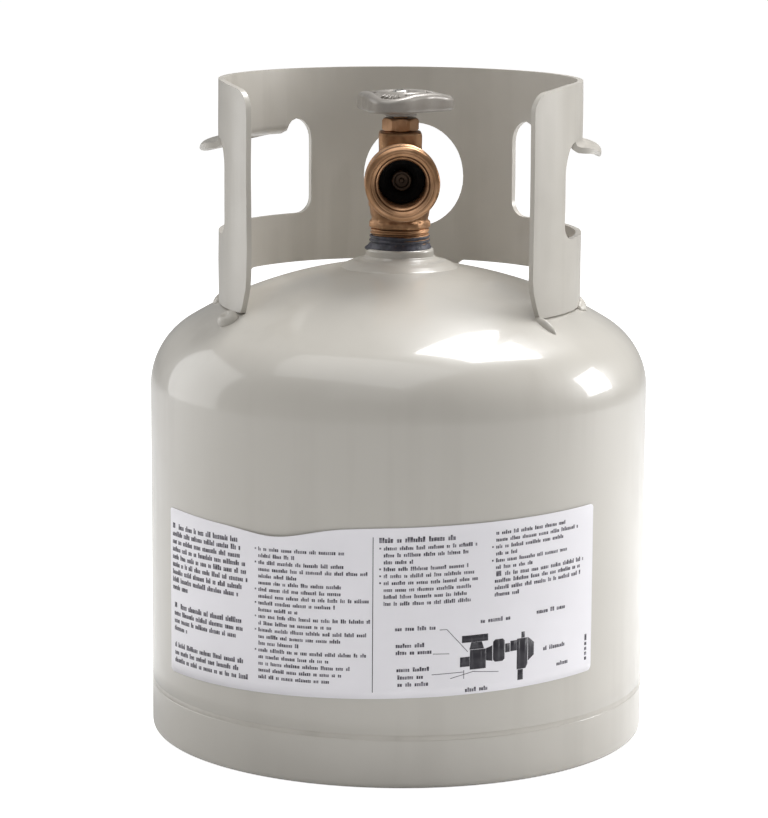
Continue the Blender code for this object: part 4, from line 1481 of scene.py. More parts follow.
    def build_welds(self) -> None:
        """Nuggets at the two front feet and beads along the wide feet."""
        left = self.nugget("weld_nugget_left", Side.LEFT, (8.0, 4.6), (5.0, 4.9, 4.6), 2.2)
        hand_over(left, WELD_PAINT, Slot.GREY_PAINT, Body.CYLINDER, "collar_weld_left_front")
        right = self.nugget("weld_nugget_right", Side.RIGHT, (4.4, 3.6), (1.9, 6.4, 2.6), 0.0)
        hand_over(right, WELD_PAINT, Slot.GREY_PAINT, Body.CYLINDER, "collar_weld_right_front")
        last = self.foot_end - 4.0
        back_half = self.foot_back_half - 1.0
        spans = {"left_side": (-self.side_weld_from, -last), "right_side": (self.side_weld_from, last)}
        spans["back"] = (180.0 - back_half, 180.0 + back_half)
        for word, (start, end) in spans.items():
            bead = self.bead(f"weld_bead_{word}", start, end, self.bead_width, self.bead_height)
            hand_over(bead, WELD_PAINT, Slot.GREY_PAINT, Body.CYLINDER, f"collar_weld_{word}")

    def build(self) -> None:
        """Make the plate and its welds."""
        self.build_plate()
        self.build_welds()


# Label


@dataclass(frozen=True)
class Print:
    """A block of generic small print, made of plain blocks with no letters.

    Bearings are of its left and right ends, and top is the height of its first row at the left end.
    """

    left: float
    right: float
    top: float
    rows: int
    pitch: float
    height: float
    glyph: float = 0.62
    ragged: float = 0.25
    bullets: tuple[int, ...] = ()
    short: tuple[int, ...] = ()


@dataclass
class WallLabel:
    """Film label on the wall, with a wrinkled top edge, rows of generic print and a plain valve picture."""

    wall_r: float = 113.0
    lift: float = 0.22
    left: float = -64.6
    right: float = 47.2
    slope: float = 0.068
    thickness: float = 0.12
    corner_r: float = 2.4
    ink_faces: tuple[float, float] = (0.02, 0.05)
    letter_gap: float = 0.22
    strip_step: float = 1.2
    pointer_half: float = 0.13
    pointer_step: float = 3.0
    columns: int = 150
    rows: int = 26
    picture_left: float = 12.2
    picture_low: float = 44.8
    rng: random.Random = field(default_factory=lambda: random.Random(7))

    def top(self, bearing: float) -> float:
        """Height of the top edge, which dips where the film has wrinkled.

        Args:
            bearing: bearing in degrees.

        Returns:
            The height in millimetres.
        """
        line = 115.4 + self.slope * bearing
        dip = 4.6 * math.exp(-(((bearing + 29.0) / 10.5) ** 2))
        sag = 1.6 * math.exp(-(((bearing + 45.0) / 12.0) ** 2))
        return line - dip - sag

    def bottom(self, bearing: float) -> float:
        """Height of the bottom edge."""
        return 40.6 + self.slope * bearing

    def radius(self, bearing: float, z: float) -> float:
        """Radius of the film's outer face, a little off the wall where it is wrinkled.

        Args:
            bearing: bearing in degrees.
            z: height in millimetres.

        Returns:
            The radius in millimetres.
        """
        point = polar(self.wall_r, bearing, z)
        fold = math.exp(-(((bearing + 27.0) / 9.0) ** 2)) * math.exp(-(((z - self.top(bearing)) / 3.6) ** 2))
        lip = 0.25 * math.exp(-(((z - self.top(bearing)) / 1.6) ** 2))
        return self.wall_r + self.lift + 0.75 * fold + lip + 0.06 * waved(point, 16.0)

    def build_sheet(self) -> None:
        """The film itself, with rounded corners."""
        per_degree = self.wall_r * math.radians(1.0)
        rows = []
        for i in range(self.columns + 1):
            share = 0.5 - 0.5 * math.cos(math.pi * i / self.columns)
            bearing = self.left + (self.right - self.left) * share
            from_end = min(bearing - self.left, self.right - bearing) * per_degree
            inset = self.corner_r * (1.0 - eased(from_end / self.corner_r))
            low, high = self.bottom(bearing) + inset, self.top(bearing) - inset
            column = []
            for k in range(self.rows + 1):
                share = 1.0 - (1.0 - k / self.rows) ** 1.6
                z = low + (high - low) * share
                column.append(polar(self.radius(bearing, z), bearing, z))
            rows.append(column)
        bm = bmesh.new()
        grid = [[bm.verts.new(point) for point in column] for column in rows]
        for first, second in zip(grid, grid[1:]):
            for k in range(self.rows):
                bm.faces.new((first[k], second[k], second[k + 1], first[k + 1]))
        bm.normal_update()
        mesh = bpy.data.meshes.new("label_film")
        bm.to_mesh(mesh)
        bm.free()
        mesh.shade_smooth()
        film = linked("label_film", mesh)
        thickened(film, self.thickness)
        hand_over(film, PAPER, Slot.LABEL_PAPER, Body.CYLINDER, "label")

    def block(self, bm: Surface, corners: Sequence[tuple[float, float]]) -> None:
        """Add a thin raised patch of ink with corners (bearing, height), going round.

        Args:
            bm: the print's surface.
            corners: corners (bearing, height), going round.
        """
        faces = []
        for rise in self.ink_faces:
            faces.append([bm.verts.new(polar(self.radius(b, z) + rise, b, z)) for b, z in corners])
        under, over = faces
        bm.faces.new(under[::-1])
        bm.faces.new(over)
        for i in range(len(corners)):
            j = (i + 1) % len(corners)
            bm.faces.new((under[i], under[j], over[j], over[i]))

    def bar(self, bm: Surface, bearing: float, z: float, width: float, height: float) -> None:
        """Add a small upright patch of ink with its lower left corner at a bearing and height.

        Args:
            bm: the print's surface.
            bearing: bearing of its lower left corner.
            z: height of that corner.
            width: width in millimetres.
            height: height in millimetres.
        """
        wide = math.degrees(width / self.wall_r)
        rise = self.slope * wide
        corners = [
            (bearing, z), (bearing + wide, z + rise), (bearing + wide, z + rise + height),
            (bearing, z + height),
        ]
        self.block(bm, corners)

    def print_row(self, bm: Surface, block: Print, z: float, end: float) -> None:
        """Fill one row with words of small plain blocks, from the left end to a bearing.

        Args:
            bm: the print's surface.
            block: the block that the row is in.
            z: height of the row at the block's left end.
            end: bearing where the row ends.
        """
        per_degree = self.wall_r * math.radians(1.0)
        bearing = block.left
        while bearing < end:
            letters = self.rng.randint(2, 9)
            for _ in range(letters):
                if bearing >= end:
                    break
                base = z + self.slope * (bearing - block.left)
                tall = block.height * self.rng.choice((0.66, 0.7, 0.74, 1.0))
                width = block.glyph * self.rng.uniform(0.75, 1.2)
                self.bar(bm, bearing, base, width, tall)
                bearing += (width + self.letter_gap) / per_degree
            bearing += 0.9 * block.glyph / per_degree + 0.28

    def blocks(self) -> list[Print]:
        """Layout of the small print.

        Returns:
            The blocks, in the order in which they are printed.
        """
        columns = [
            Print(-60.4, -39.0, 102.0, 1, 3.4, 2.5, 0.9, 0.05),
            Print(-63.4, -36.8, 98.4, 8, 3.45, 2.35, 0.85, 0.12, short=(7,)),
            Print(-59.6, -38.0, 66.2, 1, 3.4, 2.5, 0.9, 0.05),
            Print(-62.6, -36.9, 62.6, 3, 3.4, 2.3, 0.85, 0.12, short=(2,)),
            Print(-62.4, -35.8, 48.2, 3, 3.45, 2.3, 0.85, 0.1),
            Print(-33.6, -7.6, 101.3, 20, 2.98, 1.75, 0.62, 0.35, (0, 2, 6, 8, 10, 12, 15), (1, 4, 9, 14)),
            Print(-5.6, 10.9, 108.6, 1, 3.0, 2.3, 0.95, 0.02),
            Print(-4.6, 16.8, 105.4, 9, 3.02, 1.75, 0.62, 0.2, (0, 3, 4, 5), (2,)),
            Print(20.2, 43.4, 110.8, 6, 3.0, 1.75, 0.62, 0.3, (2, 4), (3, 5)),
            Print(22.4, 44.0, 92.8, 1, 3.0, 1.9, 0.7, 0.02),
            Print(20.0, 44.0, 89.8, 3, 3.0, 1.85, 0.66, 0.08, (), (2,)),
        ]
        words = [
            (-2.1, 7.1, 70.2), (-1.9, 3.9, 62.8), (-1.9, 5.7, 59.7), (-1.7, 5.6, 52.2), (-1.5, 4.4, 48.9),
        ]
        words += [
            (-1.5, 4.9, 45.7), (13.4, 18.5, 42.6), (16.8, 23.7, 72.6), (30.5, 38.4, 74.0),
            (32.4, 39.1, 57.3),
        ]
        words += [(36.2, 39.2, 49.4)]
        return columns + [Print(left, right, z, 1, 3.0, 1.9, 0.8, 0.0) for left, right, z in words]

    def build_print(self) -> None:
        """Rows of small print, their bullets, three square marks and an upright mark at the right."""
        bm = bmesh.new()
        for block in self.blocks():
            for row in range(block.rows):
                z = block.top - row * block.pitch
                if z + self.slope * 8.0 > self.top(block.left + 4.0) - 2.4:
                    continue
                span = block.right - block.left
                end = block.right - span * block.ragged * self.rng.random()
                if row in block.short:
                    end = block.left + span * self.rng.uniform(0.2, 0.4)
                if row in block.bullets:
                    self.bar(bm, block.left - 0.95, z + 0.45, 0.75, 0.75)
                self.print_row(bm, block, z, end)
        for z in (49.0, 51.2, 53.4, 55.6, 57.8, 59.2):
            self.bar(bm, 44.9, z, 1.3, 1.4)
        for left, low in ((-63.3, 102.0), (-62.5, 66.2), (20.3, 92.6)):
            self.bar(bm, left, low, 2.3, 2.3)
        fine = linked("label_small_print", closed_mesh("label_small_print", bm))
        hand_over(fine, INK, Slot.LABEL_PAPER, Body.CYLINDER)

    def picture_point(self, u: float, v: float) -> tuple[float, float]:
        """Bearing and height of a point of the picture, from millimetres right and up of its corner."""
        bearing = self.picture_left + math.degrees(0.95 * u / self.wall_r)
        return bearing, self.picture_low + 0.93 * v + self.slope * (bearing - self.picture_left)

    def build_picture(self) -> None:
        """Plain silhouette of a valve with a regulator beside it, and thin pointer lines."""
        bm = bmesh.new()
        shapes = [
            [(0.8, 21.0, 24.3), (13.2, 21.0, 24.3)],
            [(4.4, 17.5, 17.9), (5.2, 17.5, 20.9), (10.2, 17.5, 20.9), (11.2, 17.5, 17.9)],
            [(4.6, 8.0, 17.3), (12.2, 8.0, 17.3)],
            [(0.0, 9.6, 14.2), (4.5, 9.6, 14.2)],
            [(12.3, 11.6, 17.4), (15.4, 11.0, 18.4)],
            [(15.7, 11.4, 20.0), (16.7, 10.4, 21.0), (20.4, 10.4, 21.0), (21.4, 11.4, 20.0)],
            [(21.7, 14.2, 18.4), (24.0, 14.2, 18.4)],
            [(24.3, 14.4, 19.3), (27.6, 14.4, 19.3)],
            [(27.7, 5.2, 19.8), (32.3, 5.2, 19.8), (33.3, 7.2, 19.8)],
            [(33.6, 8.6, 19.8), (36.7, 11.0, 17.0)],
            [(30.0, 20.0, 22.8), (31.7, 20.0, 22.8)],
            [(28.2, 0.0, 5.0), (31.0, 0.0, 5.0)],
        ]
        for shape in shapes:
            for start, end in zip(shape, shape[1:]):
                self.strip(bm, start, end)
        lines = [((-9.5, 28.0), (-6.2, 28.0)), ((-6.2, 28.0), (3.6, 16.6)), ((-12.5, 16.8), (-5.0, 16.4))]
        lines += [
            ((-13.0, 7.0), (1.6, 7.2)), ((-4.4, 4.6), (6.0, 7.0)), ((6.0, 7.0), (18.5, 5.6)),
            ((1.8, 4.0), (1.8, 8.0)),
        ]
        for start, end in lines:
            self.pointer(bm, start, end)
        left_z = 43.4 + self.slope * -6.0
        count = 12
        for i in range(count):
            low, high = left_z + 68.0 * i / count, left_z + 68.0 * (i + 1) / count
            self.block(bm, [(-7.0, low), (-6.84, low), (-6.84, high), (-7.0, high)])
        picture = linked("label_picture", closed_mesh("label_picture", bm))
        hand_over(picture, SOLID_INK, Slot.LABEL_PAPER, Body.CYLINDER)

    def strip(self, bm: Surface, start: Sequence[float], end: Sequence[float]) -> None:
        """Fill between two stations (u, low v, high v) of the picture, in steps that follow the wall.

        Args:
            bm: the print's surface.
            start: first station.
            end: last station.
        """
        steps = max(1, math.ceil((end[0] - start[0]) / self.strip_step))
        stations = [[a + (b - a) * k / steps for a, b in zip(start, end)] for k in range(steps + 1)]
        for first, second in zip(stations, stations[1:]):
            outline = [
                (first[0], first[1]), (second[0], second[1]), (second[0], second[2]), (first[0], first[2]),
            ]
            self.block(bm, [self.picture_point(u, v) for u, v in outline])

    def pointer(self, bm: Surface, start: tuple[float, float], end: tuple[float, float]) -> None:
        """Add a thin line of ink between two points of the picture.

        Args:
            bm: the print's surface.
            start: first point (u, v).
            end: last point.
        """
        along = Vector(end) - Vector(start)
        across = Vector((-along.y, along.x)).normalized() * self.pointer_half
        steps = max(1, math.ceil(along.length / self.pointer_step))
        for k in range(steps):
            first = Vector(start) + along * (k / steps)
            second = Vector(start) + along * ((k + 1) / steps)
            corners = [first - across, second - across, second + across, first + across]
            self.block(bm, [self.picture_point(c.x, c.y) for c in corners])

    def build(self) -> None:
        """Make the film and what is printed on it."""
        self.build_sheet()
        self.build_print()
        self.build_picture()


# Valve


@dataclass
class TankValve:
    """Brass valve: forging, threaded nose, pipe thread and sealant, bonnet nut and small fittings."""

    outlet_z: float = 253.7
    nose_y: float = 40.0
    nose_r: float = 16.65
    bore_r: float = 10.6
    bore_depth: float = 24.0
    neck_half: float = 9.65
    neck_top_z: float = 273.6
    relief_z: float = 241.0
    relief_nose_y: float = 27.0
    bleed_z: float = 243.0
    bleed_face: float = 11.2
    voxel: float = 0.42

    def build_forging(self) -> None:
        """Body, neck and bosses as one forging with soft inside corners."""
        band = polygon_radius(12.9, 6, 13.9, math.radians(30))
        neck = polygon_radius(self.neck_half, 4, 11.6)
        levels = [(229.6, 11.6), (230.4, band), (233.0, band), (233.9, 12.6), (236.0, 13.2), (240.0, 13.9)]
        levels += [(245.0, 14.3), (250.0, 14.2), (255.0, 13.4), (259.5, 12.0), (262.5, neck), (272.9, neck)]
        levels += [(self.neck_top_z, polygon_radius(self.neck_half - 0.7, 4, 10.9))]
        rings = [round_ring(radius, z, 72) for z, radius in levels]
        forging = lofted("valve_forging", rings)
        barrel = [
            (0.0, 0.5), (13.6, 0.5), (13.6, 12.0, 4.0), (12.6, 20.0, 2.0), (14.8, 23.4, 0.8), (14.8, 25.0),
            (0.0, 25.0),
        ]
        outlet = settle(lathe("outlet_barrel", barrel, 72), placed(Facing.FRONT, (0, 0, self.outlet_z)))
        carved(forging, outlet, "UNION")
        boss = [(0.0, 1.0), (9.5, 1.0), (9.5, self.relief_nose_y - 1.0, 0.8), (8.6, self.relief_nose_y, 0.6)]
        boss.append((0.0, self.relief_nose_y))
        carved(
            forging, settle(lathe("relief_boss", boss, 48), placed(Facing.BACK, (0, 0, self.relief_z))),
            "UNION",
        )
        remesh = forging.modifiers.new("forged_skin", "REMESH")
        remesh.mode = "VOXEL"
        remesh.voxel_size = self.voxel * MM
        remesh.use_smooth_shade = True
        soft = forging.modifiers.new("soft_corners", "SMOOTH")
        soft.factor = 0.5
        soft.iterations = 5
        settle(forging)
        rippled(forging, 0.16, 2.4)
        settle(forging)
        for tool in self.bores():
            carved(forging, tool)
        forging.data.shade_smooth()
        hand_over(forging, BRASS, Slot.BRASS, Body.CYLINDER, "valve_body")

    def bores(self) -> list[Piece]:
        """Tools for the outlet, the relief port, the stem hole and the level screw's spot face.

        Returns:
            The tools, in the order in which they cut.
        """
        front, back = placed(Facing.FRONT, (0, 0, self.outlet_z)), placed(Facing.BACK, (0, 0, self.relief_z))
        left = placed(Facing.LEFT, (0, 0, self.bleed_z))
        floor = self.nose_y - self.bore_depth
        outlet = [
            (0.0, floor - 9.0), (5.6, floor - 9.0), (5.6, floor), (self.bore_r, floor), (self.bore_r, 26.0),
            (0.0, 26.0),
        ]
        relief = [(0.0, 12.0), (6.6, 12.0), (6.6, 28.0), (0.0, 28.0)]
        stem = [(0.0, 262.0), (7.2, 262.0), (7.2, 275.0), (0.0, 275.0)]
        face = [
            (0.0, 8.6), (2.3, 8.6), (2.3, self.bleed_face), (4.4, self.bleed_face), (4.4, 17.0),
            (0.0, 17.0),
        ]
        return [
            settle(lathe("outlet_tool", outlet, 64), front),
            settle(lathe("relief_tool", relief, 48), back),
            settle(lathe("stem_tool", stem, 48)),
            settle(lathe("bleed_tool", face, 40), left),
        ]

    def build_nose(self) -> None:
        """Outlet nose: coarse outside thread, rounded rim, stepped mouth and fine inside thread."""
        steps = 96
        y = self.nose_y
        rings = thread_ring(24.4, y - 3.0, self.nose_r, 1.35, 4.6, steps)
        rim = [
            (self.nose_r, y - 2.9), (self.nose_r, y - 1.0, 2.6), (15.1, y, 1.6), (14.1, y - 0.05, 0.3),
            (13.9, y - 0.5, 0.2),
        ]
        rim += [
            (13.5, y - 0.4, 0.4), (12.3, y - 1.0, 0.8), (11.7, y - 2.4, 0.5), (11.1, y - 2.7, 0.4),
            (10.7, y - 3.2),
        ]
        profile = softened(rim, 5)
        rings += [round_ring(r, z, steps) for r, z in profile]
        inner = thread_ring(self.nose_y - self.bore_depth + 9.0, y - 3.4, 10.5, -0.55, 1.8, steps)
        rings += inner[::-1]
        rings += [
            round_ring(r, z, steps)
            for r, z in ((10.55, 22.0), (10.55, 17.0), (12.2, 17.0), (12.2, 24.3), (14.6, 24.3))
        ]
        nose = lofted("outlet_nose", rings, looped=True)
        settle(nose, placed(Facing.FRONT, (0, 0, self.outlet_z)))
        hand_over(even_normals(nose), CUT_BRASS, Slot.BRASS, Body.CYLINDER)

    def build_outlet_parts(self) -> None:
        """Black seat ring and the brass check at the bottom of the outlet."""
        floor = self.nose_y - self.bore_depth
        place = placed(Facing.FRONT, (0, 0, self.outlet_z))
        seat = [
            (5.0, floor + 0.3, 0.3), (10.3, floor + 0.3), (10.3, floor + 4.6, 0.3), (7.6, floor + 4.6, 0.8),
        ]
        seat.append((5.0, floor + 3.4, 0.5))
        ring = settle(lathe("outlet_seat_ring", seat, 72), place)
        hand_over(even_normals(ring), RUBBER, Slot.BLACK_RUBBER, Body.CYLINDER, "outlet_seat")
        tip = floor + 8.4
        check = [
            (0.0, floor - 0.6), (4.5, floor - 0.6, 0.2), (4.5, tip - 0.4, 0.4), (4.1, tip, 0.3),
            (3.2, tip, 0.3),
        ]
        check += [(2.9, tip - 1.4, 0.3), (1.2, tip - 1.7, 0.3), (0.9, tip - 1.0, 0.2), (0.0, tip - 0.9)]
        poppet = settle(lathe("outlet_check_cap", check, 56), place)
        # The check wears brass painted near black, painted shade for the bottom of the outlet bore.
        hand_over(even_normals(poppet), BORE_SHADED_BRASS, Slot.BRASS, Body.OUTLET_CHECK, "outlet_poppet")

    def build_shank(self) -> None:
        """Tapered pipe thread between the wrench band and the coupling."""
        steps = 72
        rings = [round_ring(r, z, steps) for r, z in ((11.6, 193.0), (11.9, 194.0), (11.9, 221.0))]
        rings += thread_ring(221.6, 229.4, 13.35, 0.95, 1.81, steps)
        rings += [
            round_ring(r, z, steps)
            for r, z in ((13.1, 229.7), (11.8, 230.3), (7.0, 230.3), (7.0, 193.0))
        ]
        shank = lofted("pipe_thread", rings, looped=True)
        hand_over(even_normals(shank), BRASS, Slot.BRASS, Body.CYLINDER)

    def build_sealant(self) -> None:
        """Cured sealant in three ridges, squeezed out in an uneven skirt over the coupling."""
        steps = 160
        outline = [(12.2, 227.0), (13.1, 226.9), (13.75, 226.4), (13.2, 225.6), (13.15, 225.2), (13.8, 224.7)]
        outline += [
            (13.85, 224.2), (13.2, 223.6), (13.3, 223.2), (13.8, 222.7), (13.9, 222.2), (14.2, 221.75),
        ]
        outline += [(14.5, 221.3), (14.3, 220.85), (13.6, 220.9), (12.2, 220.9)]
        rings = []
        for k, (r, z) in enumerate(outline):
            ring = []
            for i in range(steps):
                angle = 2 * math.pi * i / steps
                way = Vector((math.cos(angle), math.sin(angle), 0.0))
                front = math.degrees(math.atan2(way.x, -way.y))
                skirt = min(1.0, max(0.0, (k - 8) / 3.0)) if k < 14 else 0.0
                droop = 1.7 * math.exp(-(((front - 14.0) / 17.0) ** 2))
                droop += 0.7 * math.exp(-(((front + 75.0) / 14.0) ** 2))
                push = 0.35 * droop + 1.3 * math.exp(-(((front + 84.0) / 16.0) ** 2))
                wander = 0.22 * waved(way * 0.013 + Vector((0.0, 0.0, z * MM)), 2.2) if 0 < k < 15 else 0.0
                reach = r + wander + push * skirt
                height = z - droop * skirt * 0.75 + 0.5 * wander
                ring.append(Vector((way.x * reach, way.y * reach, height)) * MM)
            rings.append(ring)
        sealant = lofted("thread_sealant_bead", rings, looped=True)
        hand_over(even_normals(sealant), SEALANT, Slot.SEALANT, Body.CYLINDER, "thread_sealant")

    def build_bonnet(self) -> None:
        """Hex bonnet nut with chamfered corners, on a thin collar."""
        steps = 96
        top = 279.8

        def hexagon(corner: float) -> Callable[[float], float]:
            """Hexagon whose corners a circle cuts."""
            return polygon_radius(7.25, 6, corner, math.radians(90))

        levels = [
            (268.2, 7.0), (273.75, 7.0), (273.9, hexagon(7.5)), (274.4, hexagon(8.1)),
            (274.9, hexagon(8.35)),
        ]
        levels += [
            (top - 1.3, hexagon(8.35)), (top - 0.7, hexagon(8.0)), (top - 0.15, hexagon(7.35)), (top, 6.9),
        ]
        levels += [(top, 4.1), (top - 0.5, 3.7), (268.2, 3.7)]
        rings = [round_ring(radius, z, steps) for z, radius in levels]
        nut = lofted("bonnet_hex", rings, looped=True)
        bevelled(nut, 0.18, 2, 25.0)
        hand_over(even_normals(nut), CUT_BRASS, Slot.BRASS, Body.CYLINDER, "bonnet_nut")

    def build_relief(self) -> None:
        place = placed(Facing.BACK, (0, 0, self.relief_z))
        low, high = self.relief_nose_y - 4.6, self.relief_nose_y - 0.6
        steps = 72
        hole = polygon_radius(3.0, 6, 3.45)
        levels = [
            (low, 6.25), (high - 0.5, 6.25), (high, 5.8), (high, polygon_radius(3.3, 6, 3.8)),
            (high - 0.4, hole), (low, hole),
        ]
        nut = lofted("relief_ring_nut", [round_ring(radius, z, steps) for z, radius in levels], looped=True)
        settle(nut, place)
        hand_over(even_normals(nut), CUT_BRASS, Slot.BRASS, Body.CYLINDER, "relief_nut")
        floor = self.relief_nose_y - 15.0
        stem = [(0.0, floor + 0.3), (4.4, floor + 0.3, 0.2), (4.4, floor + 2.4, 0.3), (2.2, floor + 2.4, 0.2)]
        stem += [(2.2, floor + 9.0, 0.6), (0.0, floor + 9.0)]
        poppet = settle(lathe("relief_check", stem, 40), place)
        # The check wears brass painted near black, painted shade for the bottom of the relief port.
        hand_over(even_normals(poppet), BORE_SHADED_BRASS, Slot.BRASS, Body.RELIEF, "relief_poppet")

    def build_level_screw(self) -> None:
        """Slotted level screw on the valve's left, and its gasket."""
        place = placed(Facing.LEFT, (0, 0, self.bleed_z))
        face = self.bleed_face
        washer = [
            (2.4, face + 0.3, 0.1), (3.6, face + 0.3, 0.1), (3.6, face + 0.8, 0.1), (2.4, face + 0.8, 0.1),
        ]
        gasket = settle(lathe("level_gasket", washer, 40), place)
        hand_over(gasket, NYLON, Slot.WHITE_NYLON, Body.BLEEDER_SLIDE, "bleeder_gasket")
        shape = [(0.0, 8.9), (0.9, 8.9, 0.2), (2.0, 10.0, 0.2), (2.0, face + 1.1), (3.7, face + 1.1, 0.2)]
        shape += [(3.7, face + 2.5, 0.5), (3.0, face + 3.0, 0.6), (0.0, face + 3.1)]
        screw = settle(lathe("level_screw", shape, 56), place)
        slot = box_tool(
            "slot_tool", (-face - 5.0, -5.0, self.bleed_z - 0.45), (-face - 2.0, 5.0, self.bleed_z + 0.45),
        )
        carved(screw, slot)
        bevelled(screw, 0.1, 2, 40.0)
        hand_over(even_normals(screw), CUT_BRASS, Slot.BRASS, Body.BLEEDER, "bleeder_screw")

    def build(self) -> None:
        """Make every piece of the valve below the handwheel."""
        self.build_forging()
        self.build_nose()
        self.build_outlet_parts()
        self.build_shank()
        self.build_sealant()
        self.build_bonnet()
        self.build_relief()
        self.build_level_screw()


# Springs


@dataclass(frozen=True)
class Coil:
    """Compression spring of round wire with closed ends.

    Low and high are its ends along its facing, in millimetres; low_fixed is not used.
    """

    name: str
    node: str
    joint: str
    travel: float
    facing: Facing
    height: float
    low: float
    high: float
    low_fixed: bool
    wire_r: float
    coil_r: float
    turns: float = 5.0
    steps: int = 140
    sides: int = 12

    def rise(self, share: float) -> float:
        """Height along the wire: flat for three quarters of a turn at each end.

        Args:
            share: share of the wire's length.

        Returns:
            The height in millimetres.
        """
        closed = 0.75 / self.turns
        open_share = min(max((share - closed) / (1.0 - 2.0 * closed), 0.0), 1.0)
        ends = self.wire_r * 1.05
        flat = min(share / closed, 1.0) * ends + min(max((share - 1.0 + closed) / closed, 0.0), 1.0) * ends
        length = self.high - self.low - 2.0 * self.wire_r - 2.0 * ends
        return self.low + self.wire_r + flat + length * open_share

    def ring(self, share: float) -> list[Vector]:
        """Section of the wire at a share of its length, in metres.

        Args:
            share: share of the wire's length.

        Returns:
            The points in metres.
        """
        angle = 2.0 * math.pi * self.turns * share
        out = Vector((math.cos(angle), math.sin(angle), 0.0))
        middle = out * self.coil_r + Vector((0.0, 0.0, self.rise(share)))
        points = []
        for i in range(self.sides):
            around = 2.0 * math.pi * i / self.sides
            way = out * math.cos(around) + Vector((0.0, 0.0, math.sin(around)))
            points.append((middle + way * self.wire_r) * MM)
        return points

    def build(self) -> None:
        """Make the wire and set it in place."""
        wire = lofted(self.name, [self.ring(i / self.steps) for i in range(self.steps + 1)])
        place = placed(self.facing, (0, 0, self.height))
        settle(wire, place)
        hand_over(wire, ZINC, Slot.ZINC_STEEL, Body.CYLINDER, self.node)
        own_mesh(wire)


COILS = (
    Coil(
        "outlet_coil", "outlet_spring", "outlet_check_push", 3.0, Facing.FRONT, 253.7, 7.3, 15.1, True, 0.4,
        4.3,
    ),
    Coil("relief_coil", "relief_spring", "relief_lift", 2.0, Facing.BACK, 241.0, 14.7, 22.1, False, 0.5, 3.6),
)


# Handwheel


